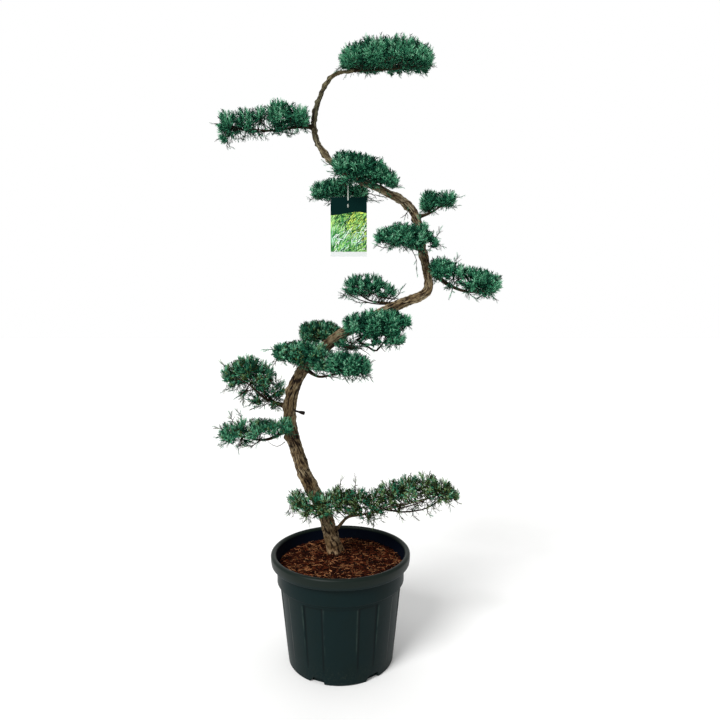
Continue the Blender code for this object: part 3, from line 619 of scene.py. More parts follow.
@dataclass(frozen=True)
class MattFloor(Finish):
    """Matt white paint, with a very slight mottle so that it isn't dead flat."""

    dull: str = "#f4f4f3"
    clean: str = "#f7f7f6"
    mottle_mm: float = 333.0

    def feeds(self, add: AddNode) -> Feeds:
        """Large soft clouds of two whites.

        Args:
            add: Adds a node to the material.

        Returns:
            What feeds the shader's inputs.
        """
        mottle = add("TexNoise", {"Vector": add("TexCoord", output="Object"),
                                  "Scale": MM / self.mottle_mm})
        return {"Base Color": add("ValToRGB", [mottle], stops=((0.3, self.dull), (0.7, self.clean)))}


# Container and mulch

@dataclass
class Container:
    """The nursery container: a tapered tub with a rolled rim over a collar, four pressed-in fluted
    corners and notches in its foot."""

    height: float = 0.390
    rim_radius: float = 0.2475
    rim_band: float = 0.019
    rim_depth: float = 0.038
    rim_round: float = 0.006
    collar_radius: float = 0.2255
    collar_depth: float = 0.064
    collar_edge: float = 0.006
    top_radius: float = 0.2185
    foot_radius: float = 0.1870
    foot_round: float = 0.003
    wall: float = 0.004
    flute_top: float = 0.276
    flute_foot: float = 0.050
    flute_depth: float = 0.004
    panel_depth: float = 0.0015
    corners: int = 4
    first_corner: float = math.radians(-43.4)
    pilaster_half: float = math.radians(10.0)
    flute_half: float = math.radians(29.0)
    step_half: float = math.radians(0.9)
    notches: int = 6
    first_notch: float = math.radians(-112.5)
    notch_width: float = 0.046
    notch_height: float = 0.020
    notch_reach: float = 0.013
    floor_level: float = 0.026
    sides: int = 720
    outer_rings: int = 45
    inner_rings: int = 4
    flute_lip: float = 0.0005
    # Sizes of the painted shade under the flutes' tops, of the painted highlight on their edges and of
    # the painted shade in their corners.
    brow_height: float = 0.002
    edge_highlight_width: float = math.radians(0.5)
    painted_shade_width: float = math.radians(0.9)

    def off_corner(self, angles: Array) -> Array:
        """How far each angle is from the middle of its nearest pilaster."""
        sector = math.tau / self.corners
        return np.abs((angles - self.first_corner + sector / 2) % sector - sector / 2)

    def highlight_and_shade(self, angles: Array, level: Array) -> Array:
        """Where the wall gets painted light and shade: 1 on a flute's edge, which gets a painted
        highlight, 0 in a corner in painted shade, under the flutes' tops too, and 0.5 elsewhere. Each
        fades as a bell.

        Args:
            angles: The angles round the wall.
            level: The height of each point.

        Returns:
            A value from 0 to 1 for each point.
        """
        off = self.off_corner(angles)
        near, far, half = self.pilaster_half, self.flute_half, self.step_half
        # A painted highlight on each outer edge of a step, painted shade in each inner corner and under
        # the flutes' tops.
        painted_highlight = bell(off, near - half, self.edge_highlight_width) + bell(off, far + half, self.edge_highlight_width)
        painted_shade_share = bell(off, near + half, self.painted_shade_width) + bell(off, far - half, self.painted_shade_width)
        painted_highlight = painted_highlight * ease(0.09, 0.16, level) * (level < self.flute_top)
        brow = bell(level, self.flute_top, self.brow_height) * self.recess(angles) / self.flute_depth
        painted_shade_share = np.maximum(painted_shade_share * ease(0.03, 0.07, level), brow)
        painted_shade_share = painted_shade_share * (level < self.flute_top + self.flute_lip)
        return 0.5 + 0.5 * np.minimum(painted_highlight, 1.0) - 0.5 * np.minimum(painted_shade_share, 1.0)

    def recess(self, angles: Array) -> Array:
        """How deep the wall is pressed in: nothing on a pilaster, the flute's depth beside it and
        the panel's depth between, with a smooth step at each edge.

        Args:
            angles: The angles round the wall.

        Returns:
            The depth at each angle.
        """
        off, half = self.off_corner(angles), self.step_half
        flute = ease(self.pilaster_half - half, self.pilaster_half + half, off)
        panel = ease(self.flute_half - half, self.flute_half + half, off)
        return self.flute_depth * flute - (self.flute_depth - self.panel_depth) * panel

    def notch_lift(self, angles: Array) -> Array:
        """How high the foot's edge is lifted: flat-topped notches whose one side slants more than
        the other.

        Args:
            angles: The angles round the foot.

        Returns:
            The lift at each angle.
        """
        sector = math.tau / self.notches
        off = (angles - self.first_notch + sector / 2) % sector - sector / 2
        across = off * self.foot_radius / self.notch_width
        return self.notch_height * ease(-0.74, -0.30, across) * (1.0 - ease(0.44, 0.52, across))

    @staticmethod
    def arc(middle: tuple[float, float], size: float, start: float, end: float,
            steps: int = 7) -> list[tuple[float, float]]:
        """Points on an arc of the profile: middle + size(cos a, sin a), a in degrees."""
        turns = np.radians(np.linspace(start, end, steps))
        return [(middle[0] + size * math.cos(a), middle[1] + size * math.sin(a)) for a in turns]

    def outer_profile(self) -> list[tuple[float, float]]:
        """The wall's section from the foot's edge up, round the rim and down inside.

        Returns:
            Radius and height of each of its points.
        """
        collar_top = self.height - self.rim_depth
        collar_foot = collar_top - self.collar_depth
        slope = (self.top_radius - self.foot_radius) / collar_foot
        levels = np.concatenate([np.linspace(self.foot_round, self.flute_foot, 8),
                                 np.linspace(self.flute_foot, self.flute_top, 26)[1:],
                                 np.linspace(self.flute_top, self.flute_top + 0.003, 6)[1:]])
        wall = [(self.foot_radius + slope * z, z) for z in levels]
        edge, lip, crown = self.collar_edge / 2, self.rim_round, self.rim_band / 2
        return [
            *self.arc((self.foot_radius - self.foot_round, self.foot_round), self.foot_round,
                      -90, -6, 5),
            *wall,
            (self.top_radius, collar_foot),
            *self.arc((self.collar_radius - edge, collar_foot + edge), edge, -80, 0, 6),
            (self.collar_radius, collar_foot + self.collar_depth / 2),
            (self.collar_radius, collar_top - 0.002), (self.collar_radius + 0.002, collar_top),
            (self.rim_radius - lip, collar_top),
            *self.arc((self.rim_radius - lip, collar_top + lip / 1.5), lip / 1.5, -80, 0, 6),
            (self.rim_radius - 0.0006, self.height - 2.6 * crown),
            *self.arc((self.rim_radius - crown, self.height - crown), crown, 0, 180, 15),
            (self.rim_radius - self.rim_band, self.height - 1.6 * crown),
            (self.collar_radius - self.wall, collar_top - 0.012),
            (self.top_radius - self.wall - self.flute_depth, collar_foot),
            (self.foot_radius - self.wall - self.flute_depth, self.floor_level)]

    def build(self, finish: Material, inside: Material) -> None:
        """Turns the profile once round: the wall's reach is r - recess(angle)·window(height), and
        the foot's rings are lifted by the notches.

        Args:
            finish: The plastic outside and on the rim.
            inside: The plastic of the inner wall, a darker copy as painted shade.
        """
        angles = once_round(self.sides)
        profile = np.array(self.outer_profile())
        radius, level = profile[:, :1], profile[:, 1:]
        outer = np.arange(len(profile))[:, None] < self.outer_rings
        window = (ease(self.flute_foot - 0.05, self.flute_top, level)
                  * (level < self.flute_top + self.flute_lip) * (radius > self.foot_radius) * outer)
        reach = radius - window * self.recess(angles)
        lift = self.notch_lift(angles)
        height = np.where(outer, np.maximum(level, lift + level * 0.02), level)
        under_reach = self.foot_radius - self.notch_reach - np.array([[0.0004], [0.0]]) + 0 * angles
        reach = np.vstack([under_reach, reach])
        height = np.vstack([0 * lift, lift, height])
        points = np.stack([*polar(reach, angles), height], axis=-1)
        slots = np.zeros((len(points) - 1) * self.sides + 2)
        slots[(len(points) - 1 - self.inner_rings) * self.sides:-2] = 1
        slots[-1] = 1
        # The relief attribute carries the flutes' painted highlights and painted shade.
        pot = make_piece("nursery_container", points, [finish, inside], slots=slots,
                         relief=self.highlight_and_shade(angles, height))
        pot.data.set_sharp_from_angle(angle=math.radians(38))
        settle(pot, "pot", "pot")


@dataclass
class Mulch:
    """The root ball under a mat of shredded conifer bark: a rough bed and thousands of fibres."""

    level: float = 0.349
    radius: float = 0.2205
    foot_radius: float = 0.181
    foot_level: float = 0.0265
    mound: float = 0.0035
    stem: tuple[float, float] = (-0.026, 0.074)
    heap: float = 0.010
    heap_width: float = 0.050
    fibres: int = 7000
    fibre_length: tuple[float, float] = (0.008, 0.042)
    fibre_radius: tuple[float, float] = (0.0003, 0.0009)
    chips: int = 500
    shares: tuple[float, ...] = (0.44, 0.29, 0.16, 0.11)
    drift: float = 0.16
    bed_sides: int = 160
    bed_rings: int = 44
    bed_drop: float = 0.005
    fibre_lift: tuple[float, float] = (0.0003, 0.0045)
    fibre_arch: float = 0.006
    fibre_top: float = 0.014
    chip_reach: tuple[float, float] = (0.002, 0.006)
    chip_depth: tuple[float, float] = (0.0005, 0.0012)
    chip_tilt: float = 0.28

    def surface(self, x: Array, y: Array) -> Array:
        """The bed's height: its level less a little, plus waves of 60 mm, crumbs of 14 mm and a
        low heap round the stem.

        Args:
            x: Places across.
            y: Places front to back.

        Returns:
            The height at each place.
        """
        flat = np.stack([x, y, np.zeros_like(x)], axis=-1)
        waves = ripple(flat, 0.060, 3) * self.mound + ripple(flat, 0.014, 4) * self.mound * 0.45
        off = np.hypot(x - self.stem[0], y - self.stem[1])
        return self.level - self.bed_drop + waves + self.heap * bell(off, 0.0, self.heap_width)

    def build_bed(self, finish: Material) -> None:
        """A polar grid for the top, the height of each point being the surface there, closed by a
        tapering side and a flat bottom.

        Args:
            finish: The substrate.
        """
        angles = once_round(self.bed_sides)
        share = np.linspace(0.004, 1.0, self.bed_rings)[:, None]
        x, y = polar(share * self.radius, angles)
        top = np.stack([x, y, self.surface(x, y)], axis=-1)
        foot = np.stack([*polar(self.foot_radius, angles), self.foot_level + 0 * angles], axis=-1)
        points = np.concatenate([top, foot[None]])
        faces = [part[:, ::-1] for part in tube_faces(points)]
        settle(make_piece("mulch_bed", points, [finish], faces), "mulch", "soil")

    def tones(self, places: Array, chance: np.random.Generator) -> Faces:
        """A tone for each shred by its share, pushed darker or lighter in drifts 45 mm across."""
        picks = chance.uniform(size=len(places)) + self.drift * ripple(places, 0.045, 5)
        return np.digitize(picks, np.cumsum(self.shares)[:-1])

    def build_fibres(self, finishes: list[Material]) -> None:
        """Curled three-sided shreds that lie on the bed: each middle line is a shallow arc over
        the surface, with its ends a little up or down.

        Args:
            finishes: The tones of bark.
        """
        chance = seeded("mulch fibres")
        count, rings, sides = self.fibres, 5, 3
        reach = self.radius * np.sqrt(chance.uniform(0.0, 0.985, count)) * 0.985
        turn = chance.uniform(0.0, math.tau, count)
        length = chance.uniform(*self.fibre_length, count) * chance.uniform(0.5, 1.0, count)
        heading, curl = chance.uniform(0.0, math.tau, count), chance.normal(0.0, 0.9, count)
        t = np.linspace(-0.5, 0.5, rings)[None]
        bearing = heading[:, None] + curl[:, None] * t
        x = (reach * np.cos(turn))[:, None] + length[:, None] * t * np.cos(bearing)
        y = (reach * np.sin(turn))[:, None] + length[:, None] * t * np.sin(bearing)
        inward = np.minimum(1.0, (self.radius - 0.001) / np.hypot(x, y))
        x, y = x * inward, y * inward
        over = chance.uniform(*self.fibre_lift, (count, 1))
        tilt = chance.normal(0.0, 0.10, (count, 1)) * length[:, None] * t
        arch = chance.uniform(0.0, self.fibre_arch, (count, 1)) * (0.25 - t * t)
        z = np.minimum(self.surface(x, y) + over + tilt + arch, self.level + self.fibre_top)
        paths = np.stack([x, y, z], axis=-1)
        swell = np.array([0.45, 0.9, 1.0, 0.85, 0.35])
        radii = chance.uniform(*self.fibre_radius, (count, 1)) * swell
        tones = self.tones(paths[:, rings // 2], chance)
        slots = np.concatenate([np.repeat(tones, (rings - 1) * sides), tones, tones])
        shreds = make_piece("mulch_fibres", tube_points(paths, radii, sides, UP), finishes,
                            slots=slots, smooth=False)
        settle(shreds, "mulch")

    def build_chips(self, finishes: list[Material]) -> None:
        """Flat flakes of bark among the shreds: six-sided plates, long along the grain, tilted.

        Args:
            finishes: The tones of bark.
        """
        chance = seeded("mulch chips")
        count, sides = self.chips, 6
        reach = self.radius * np.sqrt(chance.uniform(0.0, 0.93, count))
        turn = chance.uniform(0.0, math.tau, count)
        x, y = polar(reach, turn)
        middle = np.stack([x, y, self.surface(x, y) + chance.uniform(0.0, 0.003, count)], axis=-1)
        normal = unit(UP + chance.normal(0.0, self.chip_tilt, (count, 3)))
        heading = unit(np.cross(normal, chance.normal(size=(count, 3))))
        other = np.cross(normal, heading)
        angles = once_round(sides)
        size = chance.uniform(*self.chip_reach, (count, 1)) * chance.uniform(0.75, 1.2, (count, sides))
        rim = ((size * np.cos(angles))[..., None] * heading[:, None]
               + (size * 0.5 * np.sin(angles))[..., None] * other[:, None])
        thick = normal[:, None] * chance.uniform(*self.chip_depth, (count, 1, 1))
        points = np.stack([middle[:, None] + rim - thick, middle[:, None] + rim + thick], axis=1)
        tones = self.tones(middle, chance)
        flakes = make_piece("mulch_flakes", points, finishes, smooth=False,
                            slots=np.concatenate([np.repeat(tones, sides), tones, tones]))
        settle(flakes, "mulch")


# Trunk and boughs

@dataclass
class BarkRelief:
    """Stringy bark as a height field over a stem: furrows that run along it, split and wander."""

    strips: int = 20
    strip_length: float = 0.060
    twist: float = 0.35
    depth: float = 0.11

    def heights(self, turns: Array, along: Array, seed: int) -> Array:
        """Values from 0 in a furrow to 1 on a strip: three layers of lattice noise, each with
        strips half as wide, folded so that narrow furrows part broad strips.

        Args:
            turns: The place round the stem, in turns.
            along: The place along the stem, in metres.
            seed: Picks the pattern.

        Returns:
            One value for each place.
        """
        wander = 0.05 * np.sin(along * 19.0 + seed) + 0.03 * np.sin(along * 47.0 + 2 * seed)
        u = turns + self.twist * along + wander
        total = np.zeros_like(u)
        for layer, weight in enumerate((0.44, 0.36, 0.20)):
            cells = self.strips * 2 ** layer
            noise = lattice_noise(u, along / self.strip_length * 1.7 ** layer, cells, seed + layer)
            total += weight * np.minimum(1.0, 4.5 * np.abs(noise - 0.5) + 0.02)
        return np.clip(total * 1.12, 0.0, 1.0)

    def laid_on(self, path: Array, sides: int, seed: int, girth: float) -> tuple[Array, ...]:
        """The bark of a stem whose rings follow a path.

        Args:
            path: The stem's middle line.
            sides: Points in a ring.
            seed: Picks the pattern.
            girth: The radius that the bark is unrolled from.

        Returns:
            Each ring's place along, each side's place round in turns, and each point's height in
            the bark and place on the unrolled surface.
        """
        along = lengths_along(path)[:, None]
        turns = np.arange(sides)[None] / sides
        surface = np.stack(np.broadcast_arrays(turns * (math.tau * girth), along), axis=-1)
        return along, turns, self.heights(turns, along, seed), surface


@dataclass
class Trunk:
    """The bare winding trunk, from its flat cut in the mulch to its tip, and its pruned stub.

    Its knobs are swellings where twigs were cut: the height of each, the way it faces in degrees
    from the back round by the left, how far it stands out and how wide it is.
    """

    bends: tuple[Place, ...] = (
        (-0.024, 0.075, 0.3493), (-0.061, 0.062, 0.498), (-0.141, 0.042, 0.682),
        (-0.181, 0.020, 0.878), (-0.130, -0.006, 1.035), (0.011, -0.038, 1.163),
        (0.191, -0.040, 1.256), (0.287, -0.022, 1.298), (0.305, -0.008, 1.345),
        (0.286, 0.018, 1.446), (0.255, 0.023, 1.583), (0.158, -0.006, 1.644),
        (0.002, -0.032, 1.713), (-0.080, -0.008, 1.822), (-0.079, 0.001, 1.925),
        (-0.027, 0.013, 2.032), (0.049, 0.020, 2.056))
    foot_radius: float = 0.0272
    tip_radius: float = 0.0058
    taper: float = 0.85
    flare: float = 0.0050
    flare_height: float = 0.035
    buttresses: int = 5
    knobs: tuple[tuple[float, ...], ...] = (
        (2.026, 100, 0.0042, 0.005), (2.000, 90, 0.0030, 0.006), (1.944, 90, 0.0044, 0.006),
        (1.915, 90, 0.0044, 0.008), (1.849, 270, 0.0052, 0.006), (1.803, 95, 0.0046, 0.005),
        (1.765, 80, 0.0046, 0.006), (1.748, 110, 0.0052, 0.006), (1.766, 250, 0.0036, 0.008),
        (1.606, 90, 0.0050, 0.007), (1.625, 275, 0.0042, 0.008), (1.655, 160, 0.0040, 0.010),
        (1.560, 95, 0.0040, 0.007), (1.500, 100, 0.0036, 0.010), (1.440, 270, 0.0036, 0.008),
        (1.395, 285, 0.0042, 0.010), (1.215, 140, 0.0050, 0.010), (0.960, 120, 0.0055, 0.012),
        (0.905, 85, 0.0065, 0.018), (0.868, 265, 0.0040, 0.010), (0.795, 88, 0.0080, 0.010),
        (0.700, 270, 0.0040, 0.010), (0.655, 90, 0.0036, 0.012), (0.610, 275, 0.0065, 0.012),
        (0.455, 200, 0.0045, 0.016), (0.410, 230, 0.0070, 0.018))
    relief: BarkRelief = field(default_factory=BarkRelief)
    lump: float = 0.0015
    sunk: float = 0.012
    sunk_share: float = 0.5
    stub_level: float = 0.892
    stub_tip: Place = (-0.1275, 0.006, 0.8805)
    stub_radius: float = 0.0036
    sides: int = 96
    rings: int = 1000
    girth: float = 0.02
    buttress_share: float = 0.13
    buttress_height: float = 0.07
    sway_share: float = 0.035
    ridge_share: float = 0.03
    lump_waves: tuple[float, ...] = (0.034, 0.017, 0.010)
    stub_sides: int = 48
    stub_rings: int = 40
    stub_girth: float = 0.008
    stub_swell: float = 0.9
    dish: tuple[tuple[float, float], ...] = ((0.86, 0.0006), (0.55, 0.0002), (0.2, -0.0003))

    def path(self, count: int) -> Array:
        """The middle line as so many evenly spaced points."""
        return smooth_path(np.array(self.bends), count)

    def radii(self, path: Array) -> Array:
        """The radius: tip + (foot - tip)(1 - share)^taper, and a flare at the foot.

        Args:
            path: Points of the middle line.

        Returns:
            The radius at each point.
        """
        along = lengths_along(path)
        taper = (1.0 - along / along[-1]) ** self.taper
        flare = self.flare * np.exp(-along / self.flare_height)
        return self.tip_radius + (self.foot_radius - self.tip_radius) * taper + flare

    def at(self, height: float) -> tuple[Array, float]:
        """Looks up the trunk at a height.

        Args:
            height: Metres over the floor.

        Returns:
            The middle line's point there, and the radius.
        """
        path = self.path(400)
        radii = self.radii(path)
        return rows_at(height, path[:, 2], path), float(np.interp(height, path[:, 2], radii))

    def build(self, finish: Material) -> None:
        """Carries a ring along the middle line. Its reach is the radius times 1 + buttress + sway,
        plus the knobs, less the bark's furrows.

        Args:
            finish: The bark.
        """
        path = self.path(self.rings)
        along, turns, relief, surface = self.relief.laid_on(path, self.sides, 11, self.girth)
        radii = self.radii(path)[:, None]
        angle = turns * math.tau
        buttress = (self.buttress_share * np.exp(-along / self.buttress_height)
                    * np.cos(self.buttresses * angle + 0.6))
        sway = (self.sway_share * np.sin(23.0 * along + 2.0 * angle) * np.cos(11.0 * along + 1.0)
                + self.ridge_share * np.sin(3 * angle + 31.0 * along))
        reach = radii * (1.0 + buttress + sway - self.relief.depth * 2.0 * (1.0 - relief))
        smooth = tube_points(path, radii, self.sides, BACK)
        for part, wavelength in enumerate(self.lump_waves):
            reach = reach + self.lump / (1 + 0.5 * part) * ripple(smooth, wavelength, 21 + part)
        for level, facing, size, spread in self.knobs:
            off = (angle - math.radians(facing) + math.pi) % math.tau - math.pi
            away = (off * radii) ** 2 + (path[:, 2:] - level) ** 2
            reach = reach + size * np.exp(-away / spread ** 2)
        points = tube_points(path, reach, self.sides, BACK)
        points[0, :, 2] = path[0, 2]
        points[0] += (points[0] - points[4]) * self.sunk_share - UP * self.sunk
        bark = make_piece("trunk_bark", points, [finish], uv=surface, relief=relief)
        settle(bark, "bark", "trunk")

    def build_stub(self, bark: Material, cut: Material) -> None:
        """The pruned branch: a thin dead stub with a thicker end, its cut face a shallow dish.

        Args:
            bark: The dead bark.
            cut: The wood of the cut face.
        """
        start, _ = self.at(self.stub_level)
        knee = (start + np.array(self.stub_tip)) / 2
        path = smooth_path(np.array([start, knee, self.stub_tip]), self.stub_rings)
        sides = self.stub_sides
        along, _, relief, surface = self.relief.laid_on(path, sides, 31, self.stub_girth)
        swell = 1.0 + self.stub_swell * ease(0.55, 0.95, along / along[-1]) - 0.05 * np.sin(along * 260)
        body = tube_points(path, self.stub_radius * swell * (1.0 - 0.12 * (1.0 - relief)), sides, BACK)
        middle, ahead = path[-1], unit(path[-1] - path[-2])
        dish = [middle + (body[-1] - middle) * share + ahead * lift
                for share, lift in self.dish]
        slots = np.concatenate([np.zeros((len(path) - 1) * sides), np.ones(len(dish) * sides), [0, 1]])
        stub = make_piece("pruned_stub", np.concatenate([body, dish]), [bark, cut], slots=slots,
                          uv=np.concatenate([surface, np.repeat(surface[-1:], len(dish), axis=0)]),
                          relief=np.concatenate([relief, np.ones((len(dish), sides))]))
        settle(stub, "bark", "cut_stub")


# Foliage: where each pad is

@dataclass(frozen=True)
class Clump:
    """One rounded clump of a pad: its middle, how far it reaches each way and how full it is."""

    x: float
    y: float
    z: float
    wide: float
    deep: float
    up: float
    down: float
    fill: float = 1.0

    @property
    def middle(self) -> Array:
        """The clump's middle."""
        return np.array([self.x, self.y, self.z])

    def area(self) -> float:
        """The outline's area: a ball's, with the mean of its three products of half-widths."""
        tall = (self.up + self.down) / 2
        return 4 * math.pi * (self.wide * self.deep + self.wide * tall + self.deep * tall) / 3


@dataclass
class Pad:
    """A pad of foliage, its lengths in millimetres in the table and in metres once it is made.

    It holds where its limb leaves the trunk, how many of its places are bare bough, its thickness
    and those places, its clumps (fullness in thousandths), how grey and how speckled with sky it is,
    how light its sprays are dealt (painted light and shade on the whole pad), its gaps (middle
    across and up, half-widths) and its sprigs: twigs that show outside the clumps, each with its
    sprays, its thickness and its places.
    """

    name: str
    leaves: float
    bough_places: int
    thickness: float
    way: tuple[Place, ...]
    clumps: tuple[tuple[float, ...], ...]
    greyness: float = 0.0
    airiness: float = 0.0
    # Painted light and shade on the whole pad: how much lighter its sprays are dealt.
    light: float = 0.0
    gaps: tuple[tuple[float, ...], ...] = ()
    sprigs: tuple[tuple, ...] = ()

    def __post_init__(self) -> None:
        """Turns the table's millimetres into metres."""
        self.leaves, self.thickness = self.leaves / MM, self.thickness / MM
        self.way, self.gaps = np.array(self.way) / MM, np.array(self.gaps).reshape(-1, 4) / MM
        self.clumps = tuple(Clump(*(np.array(clump) / MM)) for clump in self.clumps)
        self.sprigs = tuple((leaves, thickness / MM, np.array(places) / MM)
                            for leaves, thickness, *places in self.sprigs)


